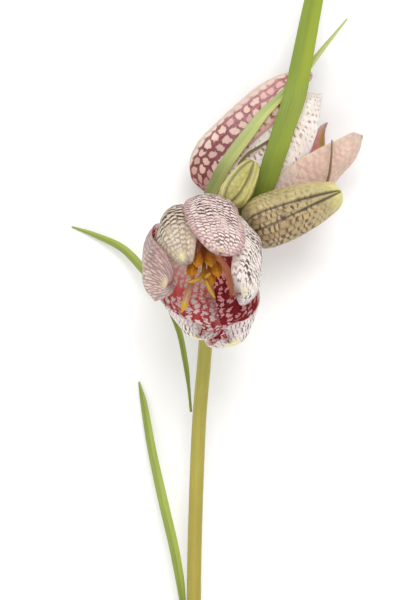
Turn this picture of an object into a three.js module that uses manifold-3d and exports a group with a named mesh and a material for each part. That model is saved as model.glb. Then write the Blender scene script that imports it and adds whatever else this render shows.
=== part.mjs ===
// Snake's head fritillary: a cut stem with two open blooms, two buds and its leaves, lying on a surface.
// Millimetres. X runs across the stem, Y along it towards the blooms, Z up from the surface at Z = 0.
import * as THREE from 'three';
import { mergeVertices } from 'three/addons/utils/BufferGeometryUtils.js';
import Module from 'manifold-3d';

const wasm = await Module();
wasm.setup();

// Driving dimensions
const bladeThickness = 0.75;
const tepalThickness = 0.8;
const tepalLayer = 0.7; // outer tepals stand this far outside the bell's surface, inner ones as far inside
const tepalSteps = { along: 13, across: 8 };
const seatRadius = 1.95; // the round seat of a flower at the end of its stalk
const seatGap = 0.35; // between a flower's pieces and its seat
const stalkRadius = 1.15;
const smallStalkRadius = 0.85;

// Colours
const purple = '#b08a96';
const cream = '#d8c8bc';
const amber = '#c98a2c';
const leafGreen = '#8a9c3c';
const oliveGreen = '#9a9055';
const stemGreen = '#a39c46';

const V = (x, y, z) => new THREE.Vector3(x, y, z);
const degrees = Math.PI / 180;
const clamp = (value, low, high) => Math.min(Math.max(value, low), high);

function smooth(from, to, value) {
  const t = clamp((value - from) / (to - from), 0, 1);
  return t * t * (3 - 2 * t);
}

// A smooth curve through equally spaced values, read at t from 0 to 1
function through(values, t) {
  const last = values.length - 1;
  const place = clamp(t, 0, 1) * last;
  const i = Math.min(Math.floor(place), last - 1);
  const f = place - i;
  const [a, b, c, d] = [i - 1, i, i + 1, i + 2].map((k) => {
    if (k < 0) return 2 * values[0] - values[1];
    if (k > last) return 2 * values[last] - values[last - 1];
    return values[k];
  });
  return b + 0.5 * f * (c - a + f * (2 * a - 5 * b + 4 * c - d + f * (3 * (b - c) + d - a)));
}

function curveThrough(points) {
  return new THREE.CatmullRomCurve3(points.map((p) => V(...p)), false, 'catmullrom', 0.5);
}

// Solids from grids of points

function solidFrom(points, triangles) {
  const position = [];
  points.forEach((p) => position.push(p.x, p.y, Math.max(p.z, 0)));
  let volume = 0;
  for (const [a, b, c] of triangles) {
    volume += points[a].dot(V(0, 0, 0).crossVectors(points[b], points[c]));
  }
  const index = triangles.flatMap(([a, b, c]) => (volume > 0 ? [a, b, c] : [a, c, b]));
  const geometry = new THREE.BufferGeometry();
  geometry.setAttribute('position', new THREE.Float32BufferAttribute(position, 3));
  geometry.setIndex(index);
  return geometry;
}

// A closed sheet between an upper and a lower grid of points, split alike on both faces
function sheetSolid(upper, lower) {
  const rows = upper.length;
  const columns = upper[0].length;
  const points = [...upper.flat(), ...lower.flat()];
  const top = (i, j) => i * columns + j;
  const low = (i, j) => rows * columns + top(i, j);
  const triangles = [];
  const quad = (a, b, c, d) => triangles.push([a, b, c], [a, c, d]);
  for (let i = 0; i < rows - 1; i++) {
    for (let j = 0; j < columns - 1; j++) {
      quad(top(i, j), top(i + 1, j), top(i + 1, j + 1), top(i, j + 1));
      triangles.push([low(i, j), low(i + 1, j + 1), low(i + 1, j)]);
      triangles.push([low(i, j), low(i, j + 1), low(i + 1, j + 1)]);
    }
  }
  for (let i = 0; i < rows - 1; i++) {
    quad(top(i, 0), low(i, 0), low(i + 1, 0), top(i + 1, 0));
    quad(top(i + 1, columns - 1), low(i + 1, columns - 1), low(i, columns - 1), top(i, columns - 1));
  }
  for (let j = 0; j < columns - 1; j++) {
    quad(top(0, j + 1), low(0, j + 1), low(0, j), top(0, j));
    quad(top(rows - 1, j), low(rows - 1, j), low(rows - 1, j + 1), top(rows - 1, j + 1));
  }
  return solidFrom(points, triangles);
}

// A closed solid from rings of points, with a point that closes each end
function ringSolid(rings, start, end) {
  const sides = rings[0].length;
  const points = [...rings.flat(), start, end];
  const first = points.length - 2;
  const triangles = [];
  const at = (i, j) => i * sides + (j % sides);
  for (let j = 0; j < sides; j++) {
    for (let i = 0; i < rings.length - 1; i++) {
      triangles.push([at(i, j), at(i, j + 1), at(i + 1, j + 1)], [at(i, j), at(i + 1, j + 1), at(i + 1, j)]);
    }
    triangles.push([first, at(0, j + 1), at(0, j)]);
    triangles.push([first + 1, at(rings.length - 1, j), at(rings.length - 1, j + 1)]);
  }
  return solidFrom(points, triangles);
}

// A round stalk along a curve, its radius read from equally spaced values
function stalk(points, radii, steps, sides) {
  const curve = curveThrough(points);
  const frames = curve.computeFrenetFrames(steps, false);
  const rings = [];
  for (let i = 0; i <= steps; i++) {
    const centre = curve.getPointAt(i / steps);
    const radius = through(radii, i / steps);
    const ring = [];
    for (let j = 0; j < sides; j++) {
      const angle = (2 * Math.PI * j) / sides;
      const out = frames.normals[i].clone().multiplyScalar(Math.cos(angle));
      out.addScaledVector(frames.binormals[i], Math.sin(angle));
      ring.push(centre.clone().addScaledVector(out, radius));
    }
    rings.push(ring);
  }
  return ringSolid(rings, curve.getPointAt(0), curve.getPointAt(1));
}

function manifoldOf(geometry) {
  const bare = geometry.clone();
  bare.deleteAttribute('normal');
  bare.deleteAttribute('uv');
  const merged = mergeVertices(bare, 1e-4);
  return new wasm.Manifold(new wasm.Mesh({
    numProp: 3,
    vertProperties: new Float32Array(merged.attributes.position.array),
    triVerts: new Uint32Array(merged.index.array),
  }));
}

// One body from several that are sunk into each other
function fuse(geometries) {
  const solids = geometries.map(manifoldOf);
  const whole = solids.reduce((sum, solid) => sum.add(solid));
  const mesh = whole.getMesh();
  const geometry = new THREE.BufferGeometry();
  geometry.setAttribute('position', new THREE.Float32BufferAttribute(mesh.vertProperties, 3));
  geometry.setIndex([...mesh.triVerts]);
  return geometry;
}

// Leaves: a blade along its midrib, wide across, with its edges raised into a shallow channel

function leaf({ spine, faceAtBase, faceAtTip, widths, channel, along, across }) {
  const curve = curveThrough(spine);
  const upper = [];
  const lower = [];
  for (let i = 0; i <= along; i++) {
    const t = i / along;
    const centre = curve.getPoint(t);
    const forward = curve.getTangent(t);
    const face = V(...faceAtBase).lerp(V(...faceAtTip), smooth(0, 0.35, t));
    face.addScaledVector(forward, -face.dot(forward)).normalize();
    const side = V(0, 0, 0).crossVectors(forward, face);
    const half = through(widths, t) / 2;
    const top = [];
    const bottom = [];
    for (let j = 0; j <= across; j++) {
      const x = (2 * j) / across - 1;
      const middle = centre.clone().addScaledVector(side, half * x);
      middle.addScaledVector(face, channel * half * x * x);
      const normal = face.clone().addScaledVector(side, -2 * channel * x).normalize();
      top.push(middle.clone().addScaledVector(normal, bladeThickness / 2));
      bottom.push(middle.addScaledVector(normal, -bladeThickness / 2));
    }
    upper.push(top);
    lower.push(bottom);
  }
  return sheetSolid(upper, lower);
}

// Blooms: six tepals on one bell-shaped surface, three outside and three inside

// The bell's profile from the seat to the tips, as shares of its radius and length, and how far
// each place moves out where the bell gapes
const profileRadius = [0.17, 0.52, 0.86, 1.0, 1.02, 1.0, 0.95, 0.83, 0.6];
const profileHeight = [0.01, -0.01, 0.035, 0.16, 0.33, 0.51, 0.68, 0.85, 0.98];
const profileGape = [0, 0, 0, 0.03, 0.1, 0.25, 0.48, 0.75, 1.0];
// Half of a tepal's width as an angle about the bell's axis, as shares of its widest, up to where
// its rounded end starts
const tepalOutline = [0.8, 0.87, 0.96, 1.0, 1.0, 0.97, 0.93];

function bloomFrame({ seat, axis, upHint, squash }) {
  const a = V(...axis).normalize();
  const u = V(...upHint);
  u.addScaledVector(a, -u.dot(a)).normalize();
  const v = V(0, 0, 0).crossVectors(u, a);
  return { origin: V(...seat), a, u, v, squash };
}

// A point at a height along the axis and a distance out from it. A bloom that rests on its side is
// squashed there, but not close to its seat.
function bloomPoint(frame, height, out, angle) {
  const squash = 1 - (1 - frame.squash) * smooth(2.5, 9, out);
  const point = frame.origin.clone().addScaledVector(frame.a, height);
  point.addScaledVector(frame.u, out * Math.cos(angle) * squash);
  return point.addScaledVector(frame.v, out * Math.sin(angle));
}

function bellPoint(bloom, angle, t) {
  const gape = bloom.gape + bloom.gapeToOneSide * Math.cos(angle - bloom.gapeSide);
  const out = bloom.radius * (through(profileRadius, t) + gape * through(profileGape, t));
  const length = bloom.length * (1 + bloom.longerOneSide * Math.cos(angle - bloom.gapeSide));
  const height = length * (through(profileHeight, t) - 0.25 * gape * gape * through(profileGape, t));
  return bloomPoint(bloom.frame, height, out, angle);
}

function bellNormal(bloom, angle, t) {
  const step = 0.01;
  const along = bellPoint(bloom, angle, Math.min(t + step, 1));
  along.sub(bellPoint(bloom, angle, Math.max(t - step, 0)));
  const round = bellPoint(bloom, angle + step, t).sub(bellPoint(bloom, angle - step, t));
  return along.cross(round).normalize();
}

// The half width at a share of the tepal's length: the outline, closed by an arch that is the
// blunter the lower its power
function tepalHalfAngle(wide, point, endStart, share) {
  const q = clamp((share - endStart) / (1 - endStart), 0, 1);
  return wide * through(tepalOutline, share) * Math.max((1 - q * q) ** point, 0.05);
}

function tepal(bloom, { angle, outer, turn, bend, wide, point, endStart, reach, curl }) {
  const { along, across } = tepalSteps;
  const outside = [];
  const inside = [];
  for (let i = 0; i <= along; i++) {
    const share = 1 - (1 - i / along) ** 1.3;
    const t = reach * share;
    const middleAngle = angle + turn * smooth(0.45, 1, share);
    const halfAngle = tepalHalfAngle(wide, point, endStart, share);
    const free = smooth(outer ? 0.76 : 0.6, 1, share);
    const curled = smooth(0.6, 0.88, share);
    const outerRow = [];
    const innerRow = [];
    for (let j = 0; j <= across; j++) {
      const x = (2 * j) / across - 1;
      const place = middleAngle + halfAngle * x;
      const normal = bellNormal(bloom, place, t);
      const cupped = (outer ? 0.4 : 1) * bloom.cup * x * x;
      const rolledIn = curl[x < 0 ? 0 : 1] * smooth(0.25, 1, Math.abs(x));
      const lift = layerLift(outer, t, x) + free * (bend - cupped) - curled * rolledIn;
      const middle = bellPoint(bloom, place, t).addScaledVector(normal, lift);
      const outerPoint = middle.clone().addScaledVector(normal, tepalThickness / 2);
      const innerPoint = middle.addScaledVector(normal, -tepalThickness / 2);
      const pressedUp = Math.max(-outerPoint.z, 0);
      outerPoint.z += pressedUp;
      innerPoint.z += pressedUp;
      outerRow.push(outerPoint);
      innerRow.push(innerPoint);
    }
    outside.push(outerRow);
    inside.push(innerRow);
  }
  return sheetSolid(outside, inside);
}

// How far a tepal's middle surface stands off the bell: the layer it lies in, its crown, and the
// nectary boss on its shoulder
function layerLift(outer, t, x) {
  const body = smooth(0.05, 0.3, t);
  const boss = 0.7 * Math.exp(-(((t - 0.2) / 0.07) ** 2) - (x / 0.3) ** 2);
  if (outer) return tepalLayer + body * 0.7 * (1 - x * x) + boss;
  const crown = 1.2 * Math.max(0, 1 - (x / 0.5) ** 2) * (1 - smooth(0.4, 0.75, t));
  return -tepalLayer + body * crown + boss * (1 - smooth(0.3, 0.6, Math.abs(x)));
}

const frontBloom = {
  seat: [-4.7, 56.2, 40.5],
  axis: [0, -0.52, 0.854],
  upHint: [0, 1, 0],
  squash: 1,
  radius: 14.1,
  length: 34.5,
  gape: 0.22,
  gapeToOneSide: 0.14,
  gapeSide: 130 * degrees,
  longerOneSide: 0.08,
  cup: 2.4,
};
frontBloom.frame = bloomFrame(frontBloom);

const backBloom = {
  seat: [1.05, 65.85, 13.9],
  axis: [0.72, 0.69, 0],
  upHint: [0, 0, 1],
  squash: 0.762,
  radius: 16,
  length: 40,
  gape: 0.1,
  gapeToOneSide: 0,
  gapeSide: 62 * degrees,
  longerOneSide: 0.06,
  cup: 1.4,
};
backBloom.frame = bloomFrame(backBloom);

// Each tepal: its angle about the axis, the layer, how far its tip turns to a side and bends out,
// and how far its two margins curl in
const frontTepals = [
  { name: 'front_tepal_outer_top', angle: 8, outer: true, turn: 10,
    bend: 0, wide: 28.5, point: 0.5, endStart: 0.74, reach: 0.9 },
  { name: 'front_tepal_outer_left', angle: 261, outer: true, turn: 22,
    bend: -4.2, wide: 34, point: 0.5, endStart: 0.78, reach: 0.9, curl: [1, 0] },
  { name: 'front_tepal_outer_low', angle: 147, outer: true, turn: 2,
    bend: -2.2, wide: 34, point: 0.5, reach: 1, curl: [2.6, 0] },
  { name: 'front_tepal_inner_upper_left', angle: 321, outer: false, turn: 8,
    bend: -1.5, wide: 35, point: 0.65, endStart: 0.4, reach: 0.9 },
  { name: 'front_tepal_inner_right', angle: 80, outer: false, turn: -4,
    bend: -3.5, wide: 38, point: 0.5, endStart: 0.74, reach: 0.955 },
  { name: 'front_tepal_inner_low', angle: 203, outer: false, turn: -14,
    bend: -1.6, wide: 36, point: 0.5, reach: 0.99, curl: [0, 1.4] },
];

const backTepals = [
  { name: 'back_tepal_outer_left', angle: 62, outer: true, turn: -6,
    bend: -1, wide: 37, point: 0.65, reach: 1 },
  { name: 'back_tepal_outer_right', angle: -52, outer: true, turn: -8,
    bend: 2, wide: 37, point: 0.5, endStart: 0.6, reach: 1, curl: [2.5, 0] },
  { name: 'back_tepal_outer_low', angle: 180, outer: true, turn: -4,
    bend: 0, wide: 34, point: 0.6, reach: 0.92 },
  { name: 'back_tepal_inner_top', angle: 6, outer: false, turn: 13,
    bend: -1, wide: 38, point: 0.65, reach: 0.99 },
  { name: 'back_tepal_inner_left', angle: 123, outer: false, turn: 0,
    bend: -1, wide: 36, point: 0.6, reach: 1 },
  { name: 'back_tepal_inner_right', angle: -117, outer: false, turn: -42,
    bend: -2, wide: 24, point: 0.7, endStart: 0.4, reach: 1 },
];

function tepalOf(bloom, row) {
  return tepal(bloom, {
    angle: row.angle * degrees,
    outer: row.outer,
    turn: row.turn * degrees,
    bend: row.bend,
    wide: row.wide * degrees,
    point: row.point,
    endStart: row.endStart ?? 0.62,
    reach: row.reach,
    curl: row.curl ?? [0, 0],
  });
}

// Six stamens on one ring round the pistil: each a thin filament that ends in a long anther
function stamens(bloom, leans) {
  const { frame } = bloom;
  const ringProfile = [[1.3, 0.65], [2.0, 0.65], [2.0, 1.7], [1.3, 1.7], [1.3, 0.65]];
  const ring = new THREE.LatheGeometry(ringProfile.map(([r, h]) => new THREE.Vector2(r, h)), 12);
  const basis = new THREE.Matrix4().makeBasis(frame.u, frame.a, frame.v);
  ring.applyMatrix4(basis.setPosition(frame.origin));
  const parts = [ring];
  leans.forEach((lean, k) => {
    const angle = (k * 60 + 30) * degrees;
    const at = (height, out) => bloomPoint(frame, height, out, angle).toArray();
    const path = [at(1.1, 1.65), at(5, 2), at(9, 2.4 + 0.2 * lean), at(13, 2.8 + 0.5 * lean)];
    path.push(at(19.5 + 0.2 * lean, 3.5 + lean));
    parts.push(stalk(path, [0.38, 0.36, 0.35, 0.34, 0.5, 1.3, 1.65, 1.45, 0.6], 9, 6));
  });
  return fuse(parts);
}

// The pistil: a slim ovary, a style and the three lobes of the stigma, each spread its own way
function pistil(bloom, spreads) {
  const { frame } = bloom;
  const at = (height, out, angle) => bloomPoint(frame, height, out, angle).toArray();
  const column = [at(0.65, 0, 0), at(5, 0, 0), at(11, 0, 0), at(18.5, 0, 0)];
  const parts = [stalk(column, [0.95, 1.05, 1.0, 0.6, 0.5, 0.55, 0.7], 7, 6)];
  spreads.forEach((spread, k) => {
    const angle = (k * 120 + 30) * degrees;
    const lobe = [at(17, 0.1, angle), at(20.6, 0.3 * spread, angle), at(22.2, spread, angle)];
    parts.push(stalk(lobe, [0.55, 0.65, 0.6, 0.45], 4, 6));
  });
  return fuse(parts);
}

// A closed bud: three outer tepals meet in furrows, with a rib down the middle of each
function bud({ seat, tip, radius, furrow, around, along, rolled }) {
  const profile = [0.3, 0.78, 0.98, 1.0, 0.93, 0.82, 0.67, 0.48, 0.2];
  const base = V(...seat);
  const axis = V(...tip).sub(base);
  const length = axis.length();
  axis.normalize();
  const u = V(0, 0, 1).addScaledVector(axis, -axis.z).normalize();
  const v = V(0, 0, 0).crossVectors(u, axis);
  const rings = [];
  for (let i = 0; i <= along; i++) {
    const t = i / along;
    const height = length * (1 - Math.cos(Math.PI * (0.06 + 0.9 * t))) / 2;
    const ring = [];
    for (let j = 0; j < around; j++) {
      const angle = (2 * Math.PI * j) / around;
      const third = Math.abs(Math.sin(1.5 * (angle - rolled)));
      const sixth = Math.cos(6 * (angle - rolled));
      const shape = 1 - furrow * (1 - third) ** 3 - 0.3 * furrow * sixth * smooth(0.1, 0.5, t);
      const out = radius * through(profile, t) * shape;
      const point = base.clone().addScaledVector(axis, height);
      ring.push(point.addScaledVector(u, out * Math.cos(angle)).addScaledVector(v, out * Math.sin(angle)));
    }
    rings.push(ring);
  }
  return ringSolid(rings, base, V(...tip));
}

// The stem with its four flower stalks, which end in round seats
function stem() {
  const node = [-2.5, 50.3, 21];
  const route = [
    [-8.4, -139.4, 1.7],
    [-8.2, -96.9, 5.2],
    [-7.5, -52.6, 9.8],
    [-7.2, -26.6, 12.4],
    [-6.1, 4.8, 16],
    [-4.7, 22.5, 18.2],
    [-3.6, 37.4, 19.9],
    [-2.4, 51.5, 21.1],
  ];
  const parts = [stalk(route, [1.8, 1.85, 1.9, 1.95, 1.95, 1.95, 1.9, 1.85], 30, 10)];
  const stalks = [
    { to: frontBloom, past: [[-2.0, 56.0, 22.5], [-2.4, 60.6, 26], [-3.4, 62.2, 31], [-4.4, 60.2, 35.4]] },
    { to: backBloom, past: [[-1.9, 56.6, 18.4], [-1.8, 61.2, 15.2]] },
  ];
  for (const { to, past } of stalks) {
    const onAxis = (height) => to.frame.origin.clone().addScaledVector(to.frame.a, height).toArray();
    const radii = [1.2, 1, 1, 1, 1.1, 1.3].map((share) => stalkRadius * share);
    parts.push(stalk([node, ...past, onAxis(-2.6), onAxis(-1.2), onAxis(0)], radii, 14, 8));
    parts.push(stalk([onAxis(-1.6), onAxis(-0.4), onAxis(0.3)], [1.1, seatRadius, seatRadius], 2, 10));
  }
  const budStalks = [
    { to: oliveBud, past: [[0.3, 53.6, 27], [1.6, 55.8, 33]] },
    { to: smallBud, past: [[-1.2, 54.6, 27], [-0.2, 59.5, 33]] },
  ];
  for (const { to, past } of budStalks) {
    const axis = V(...to.tip).sub(V(...to.seat)).normalize();
    const behind = (distance) => V(...to.seat).addScaledVector(axis, -distance).toArray();
    const route = [node, ...past, behind(2.4), behind(1.3), behind(seatGap)];
    parts.push(stalk(route, [smallStalkRadius, smallStalkRadius, smallStalkRadius, 1.1], 12, 7));
  }
  return fuse(parts);
}

const oliveBud = {
  seat: [5.9, 58.5, 35.1],
  tip: [31.9, 68.8, 30.5],
  radius: 7.1,
  furrow: 0.1,
  around: 30,
  along: 13,
  rolled: 0.12,
};

const smallBud = {
  seat: [1.8, 65.2, 34.2],
  tip: [8.7, 77.0, 33.8],
  radius: 4.1,
  furrow: 0.14,
  around: 24,
  along: 10,
  rolled: 0.25,
};

const leaves = [
  {
    name: 'leaf_1',
    spine: [[0.1, 47.6, 18], [1.0, 52.5, 20.3], [3.1, 58.1, 23.5], [5.8, 63.6, 26.4], [10.8, 68.9, 28.6],
      [13.9, 77.4, 29.8], [16.7, 86.0, 29.8], [19.6, 94.6, 28.8], [21.4, 103.4, 26], [25.0, 121.1, 19],
      [27.3, 130.1, 15], [29.4, 138.1, 10.5]],
    faceAtBase: [-1, 0, 0.2],
    faceAtTip: [0, 0, 1],
    widths: [2.6, 3.0, 3.6, 4.6, 5.6, 5.8, 5.9, 5.3, 3.9, 0.7],
    channel: 0.12,
    along: 24,
    across: 4,
  },
  {
    name: 'leaf_2',
    spine: [[-5.5, 47.6, 18], [-5.7, 52.2, 19.5], [-5.5, 57.6, 20.8], [-4.7, 62.9, 22], [-3.7, 66.9, 23.5],
      [-1.6, 71.2, 26], [1.0, 76.1, 28], [4.4, 81.0, 28.2], [7.1, 84.5, 28], [11.2, 89.8, 27.5],
      [15.5, 94.2, 26.1], [21.5, 100.4, 23.1], [27.2, 107.6, 19], [34.1, 116.2, 15.5]],
    faceAtBase: [1, 0, 0.2],
    faceAtTip: [0, 0, 1],
    widths: [2.2, 2.4, 2.8, 3.5, 3.5, 3.2, 2.4, 1.7, 0.7],
    channel: 0.12,
    along: 22,
    across: 4,
  },
  {
    name: 'leaf_3',
    spine: [[1.3, 59.0, 28.6], [2.5, 65.5, 28.6], [3.4, 70.8, 28.4], [4.6, 75.9, 28.3], [7.1, 79.1, 28.2],
      [9.8, 80.8, 28.1], [11.9, 82.2, 28], [13.5, 83.3, 27.8]],
    faceAtBase: [0, 0, 1],
    faceAtTip: [0, 0, 1],
    widths: [0.9, 0.9, 0.8, 0.8, 0.7],
    channel: 0,
    along: 12,
    across: 1,
  },
  {
    name: 'leaf_4',
    spine: [[-0.1, 43.5, 19.2], [4.0, 49.0, 20], [10.5, 54.5, 21.8], [18.5, 60.5, 23], [25.5, 65.9, 23.6],
      [28.5, 72.0, 24.5], [29.4, 77.6, 26], [29.6, 82.9, 27]],
    faceAtBase: [0, 0, 1],
    faceAtTip: [0, 0, 1],
    widths: [1.0, 0.9, 0.8, 0.7, 0.6],
    channel: 0,
    along: 14,
    across: 1,
  },
  {
    name: 'leaf_5',
    spine: [[-8.2, 9.7, 14.5], [-8.9, 17.0, 13.8], [-9.8, 23.7, 13], [-11.7, 32.4, 11.6], [-16.1, 42.0, 9.4],
      [-21.6, 48.8, 7], [-27.1, 54.3, 4.6], [-34.6, 57.9, 1.7], [-41.0, 60.2, 0.3]],
    faceAtBase: [1, 0, 0.2],
    faceAtTip: [0.2, 0.1, 1],
    widths: [1.4, 1.5, 1.5, 1.6, 1.9, 2.3, 2.1, 1.4, 0.7],
    channel: 0.12,
    along: 18,
    across: 4,
  },
  {
    name: 'leaf_6',
    spine: [[-10.1, -56.9, 8], [-10.6, -41.8, 8.4], [-12.6, -28.8, 8], [-15.9, -14.6, 6.6],
      [-18.9, -1.1, 4.2], [-21.1, 11.2, 1.6], [-22.5, 17.5, 0.3]],
    faceAtBase: [1, 0, 0.2],
    faceAtTip: [0.2, 0, 1],
    widths: [2.2, 2.4, 2.6, 2.6, 2.3, 1.8, 0.7],
    channel: 0.12,
    along: 16,
    across: 4,
  },
];

// The scene graph

const group = new THREE.Group();

function addPiece(name, geometry, color, roughness) {
  const material = new THREE.MeshStandardMaterial({ color, roughness, metalness: 0 });
  const mesh = new THREE.Mesh(geometry, material);
  mesh.name = name;
  group.add(mesh);
}

addPiece('stem', stem(), stemGreen, 0.5);
leaves.forEach((row) => addPiece(row.name, leaf(row), leafGreen, 0.45));
frontTepals.forEach((row) => addPiece(row.name, tepalOf(frontBloom, row), purple, 0.6));
addPiece('front_stamens', stamens(frontBloom, [0.3, 0.3, 0, 8, 0, 0.2]), amber, 0.6);
addPiece('front_pistil', pistil(frontBloom, [3, 5.6, 4.2]), amber, 0.6);
backTepals.forEach((row) => addPiece(row.name, tepalOf(backBloom, row), cream, 0.6));
addPiece('back_stamens', stamens(backBloom, [0, 0, 0, 0, 0, 0]), amber, 0.6);
addPiece('back_pistil', pistil(backBloom, [2.5, 2.5, 2.5]), amber, 0.6);
addPiece('olive_bud', bud(oliveBud), oliveGreen, 0.5);
addPiece('small_bud', bud(smallBud), leafGreen, 0.5);

export default group;
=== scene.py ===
"""A cut stem of snake's head fritillary that lies on a pale table, seen from above.

Sizes are in millimetres in this file and in metres in the scene.
"""

import math
from types import SimpleNamespace

import bpy
import mathutils
import numpy as np
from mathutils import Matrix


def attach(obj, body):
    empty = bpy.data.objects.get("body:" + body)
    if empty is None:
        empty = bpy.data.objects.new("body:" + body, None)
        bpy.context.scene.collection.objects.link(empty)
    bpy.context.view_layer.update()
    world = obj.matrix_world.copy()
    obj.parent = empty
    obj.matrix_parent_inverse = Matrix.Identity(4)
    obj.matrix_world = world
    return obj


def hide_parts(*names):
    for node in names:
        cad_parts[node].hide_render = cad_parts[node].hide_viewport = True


bl_info = {
    "name": "Snake's Head Fritillary",
    "version": (1, 0, 0),
    "blender": (4, 5, 0),
    "location": "View3D > Sidebar > Fritillary",
    "description": "Builds a cut fritillary stem with its blooms, buds and leaves",
    "category": "Object",
}

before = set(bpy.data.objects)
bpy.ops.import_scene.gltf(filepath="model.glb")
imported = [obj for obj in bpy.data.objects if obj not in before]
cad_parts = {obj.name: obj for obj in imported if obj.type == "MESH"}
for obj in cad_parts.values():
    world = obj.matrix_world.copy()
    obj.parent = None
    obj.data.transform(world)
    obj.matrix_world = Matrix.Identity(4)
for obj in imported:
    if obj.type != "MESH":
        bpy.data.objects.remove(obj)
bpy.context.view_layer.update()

MM = 0.001
# What 1 stands for in the maps: along a surface, and in from a tepal's margin
SURFACE_MM = 50.0
MARGIN_MM = 10.0


def paint(red, green, blue):
    """A colour given as it looks on a screen, from 0 to 255, in Blender's linear numbers."""
    shares = (red / 255, green / 255, blue / 255)
    return tuple(s / 12.92 if s <= 0.04045 else ((s + 0.055) / 1.055) ** 2.4 for s in shares)


# Sizes and colours that a user would change


def size(name, description, default, low=0.0, high=100.0):
    return bpy.props.FloatProperty(name=name, description=description, default=default, min=low, max=high)


def colour(name, description, rgb):
    return bpy.props.FloatVectorProperty(
        name=name, description=description, default=paint(*rgb), subtype="COLOR", size=3, min=0, max=1
    )


class TepalSettings(bpy.types.PropertyGroup):
    middle: size("Middle thickness", "Thickness of a tepal along its middle, in mm", 0.55, 0.2, 0.8)
    edge: size("Edge thickness", "Thickness of a tepal at its margin, in mm", 0.26, 0.1, 0.8)
    ripple: size("Ripple", "How far the margin waves in and out, in mm", 0.35, 0, 0.6)
    lumps: size("Lumps", "How far the broad dents and bulges stand in and out, in mm", 0.26, 0, 0.4)
    relief: size("Cell relief", "How far each cell bulges between the veins, in mm", 0.06, 0, 0.3)
    crimson: colour("Crimson", "The dark cells inside a bloom", (156, 42, 56))
    dash: colour("Dashes", "The fine dark dashes outside a bloom", (88, 52, 50))
    tip: colour("Tips", "The tips of the tepals", (234, 222, 160))


class LeafSettings(bpy.types.PropertyGroup):
    middle: size("Middle thickness", "Thickness of a leaf along its midrib, in mm", 0.62, 0.2, 0.8)
    edge: size("Edge thickness", "Thickness of a leaf at its edge, in mm", 0.3, 0.1, 0.8)
    relief: size("Vein relief", "How deep the parallel veins are, in mm", 0.035, 0, 0.2)
    # A leaf's two halves are one green: the bright half is painted lit, and the greyer half is painted
    # shaded
    bright: colour("Bright half", "The half of a leaf that the light falls on", (142, 156, 50))
    shaded_half: colour("Waxy half", "The greyer half of a leaf", (130, 148, 56))
    base: colour("Base", "The dark base of a leaf", (72, 80, 0))


class StemSettings(bpy.types.PropertyGroup):
    voxel: size("Cell size", "Size of the cells that join the stalks into one skin, in mm", 0.3, 0.15, 1)
    olive: colour("Upper stem", "Colour near the blooms", (166, 160, 72))
    straw: colour("Lower stem", "Colour below", (160, 146, 58))


class BudSettings(bpy.types.PropertyGroup):
    khaki: colour("Khaki", "Ground of the large bud", (134, 110, 78))
    brown: colour("Brown", "Borders of its cells", (98, 72, 50))
    lime: colour("Lime", "Ribs of the small bud", (212, 204, 132))


class PollenSettings(bpy.types.PropertyGroup):
    anther: colour("Anthers", "The long anthers", (238, 168, 44))
    filament: colour("Filaments", "The thin stalks of the anthers", (222, 172, 132))
    grain: size("Pollen grain", "Size of one clump of pollen, in mm", 0.11, 0.03, 0.5)
    density: size("Pollen density", "Clumps on each square millimetre", 5.0, 0, 20)


class StageSettings(bpy.types.PropertyGroup):
    floor: colour("Floor", "The pale surface", (251, 251, 250))
    height: size("Camera height", "Height of the camera over the floor, in mm", 1000.0, 300, 3000)
    lens: size("Lens", "Focal length on a frame 36 mm high, in mm", 218.0, 20, 500)


SETTINGS = {
    "fritillary_tepals": TepalSettings,
    "fritillary_leaves": LeafSettings,
    "fritillary_stem": StemSettings,
    "fritillary_buds": BudSettings,
    "fritillary_pollen": PollenSettings,
    "fritillary_stage": StageSettings,
}


# Numbers and curves


def smooth(low, high, value):
    t = np.clip((value - low) / (high - low), 0, 1)
    return t * t * (3 - 2 * t)


def through(values, t):
    """A smooth curve through equally spaced numbers or points, read at t from 0 to 1."""
    values = np.asarray(values, float)
    before = 2 * values[0] - values[1]
    after = 2 * values[-1] - values[-2]
    padded = np.concatenate([[before], values, [after]])
    t = np.asarray(t, float)
    place = np.clip(t, 0, 1) * (len(values) - 1)
    i = np.minimum(np.floor(place).astype(int), len(values) - 2)
    f = place - i
    if values.ndim == 2:
        f = f[..., None]
    a, b, c, d = (padded[i + k] for k in range(4))
    return b + 0.5 * f * (c - a + f * (2 * a - 5 * b + 4 * c - d + f * (3 * (b - c) + d - a)))


def evenly(points, count):
    """Points at equal distances along the smooth curve through the given ones."""
    fine = through(points, np.linspace(0, 1, 40 * len(points)))
    run = np.concatenate([[0], np.cumsum(np.linalg.norm(np.diff(fine, axis=0), axis=1))])
    wanted = np.linspace(0, run[-1], count)
    return np.stack([np.interp(wanted, run, fine[:, k]) for k in range(3)], axis=1)


def unit(vectors):
    return vectors / np.linalg.norm(vectors, axis=-1, keepdims=True)


# Meshes


def new_object(name, mesh):
    made = bpy.data.objects.new(name, mesh)
    bpy.context.scene.collection.objects.link(made)
    return made


def corners_of(mesh):
    """The point that each corner of each face stands on."""
    corners = np.empty(len(mesh.loops), int)
    mesh.loops.foreach_get("vertex_index", corners)
    return corners


def add_map(mesh, name, pairs):
    mesh.uv_layers.new(name=name).data.foreach_set("uv", pairs.astype(np.float32).ravel())


def mesh_object(name, points, faces, maps=None, face_slots=None):
    """One mesh from points in mm. Each map gives every point a pair of numbers for the materials."""
    mesh = bpy.data.meshes.new(name)
    mesh.from_pydata((np.asarray(points) * MM).tolist(), [], faces)
    for map_name, pairs in (maps or {}).items():
        add_map(mesh, map_name, pairs[corners_of(mesh)])
    if face_slots is not None:
        mesh.polygons.foreach_set("material_index", face_slots)
    mesh.polygons.foreach_set("use_smooth", [True] * len(mesh.polygons))
    mesh.update()
    return new_object(name, mesh)


def pairs_of(first, second):
    """Two grids of numbers as one list of pairs."""
    return np.stack(np.broadcast_arrays(first, second), axis=-1).reshape(-1, 2)


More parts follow.
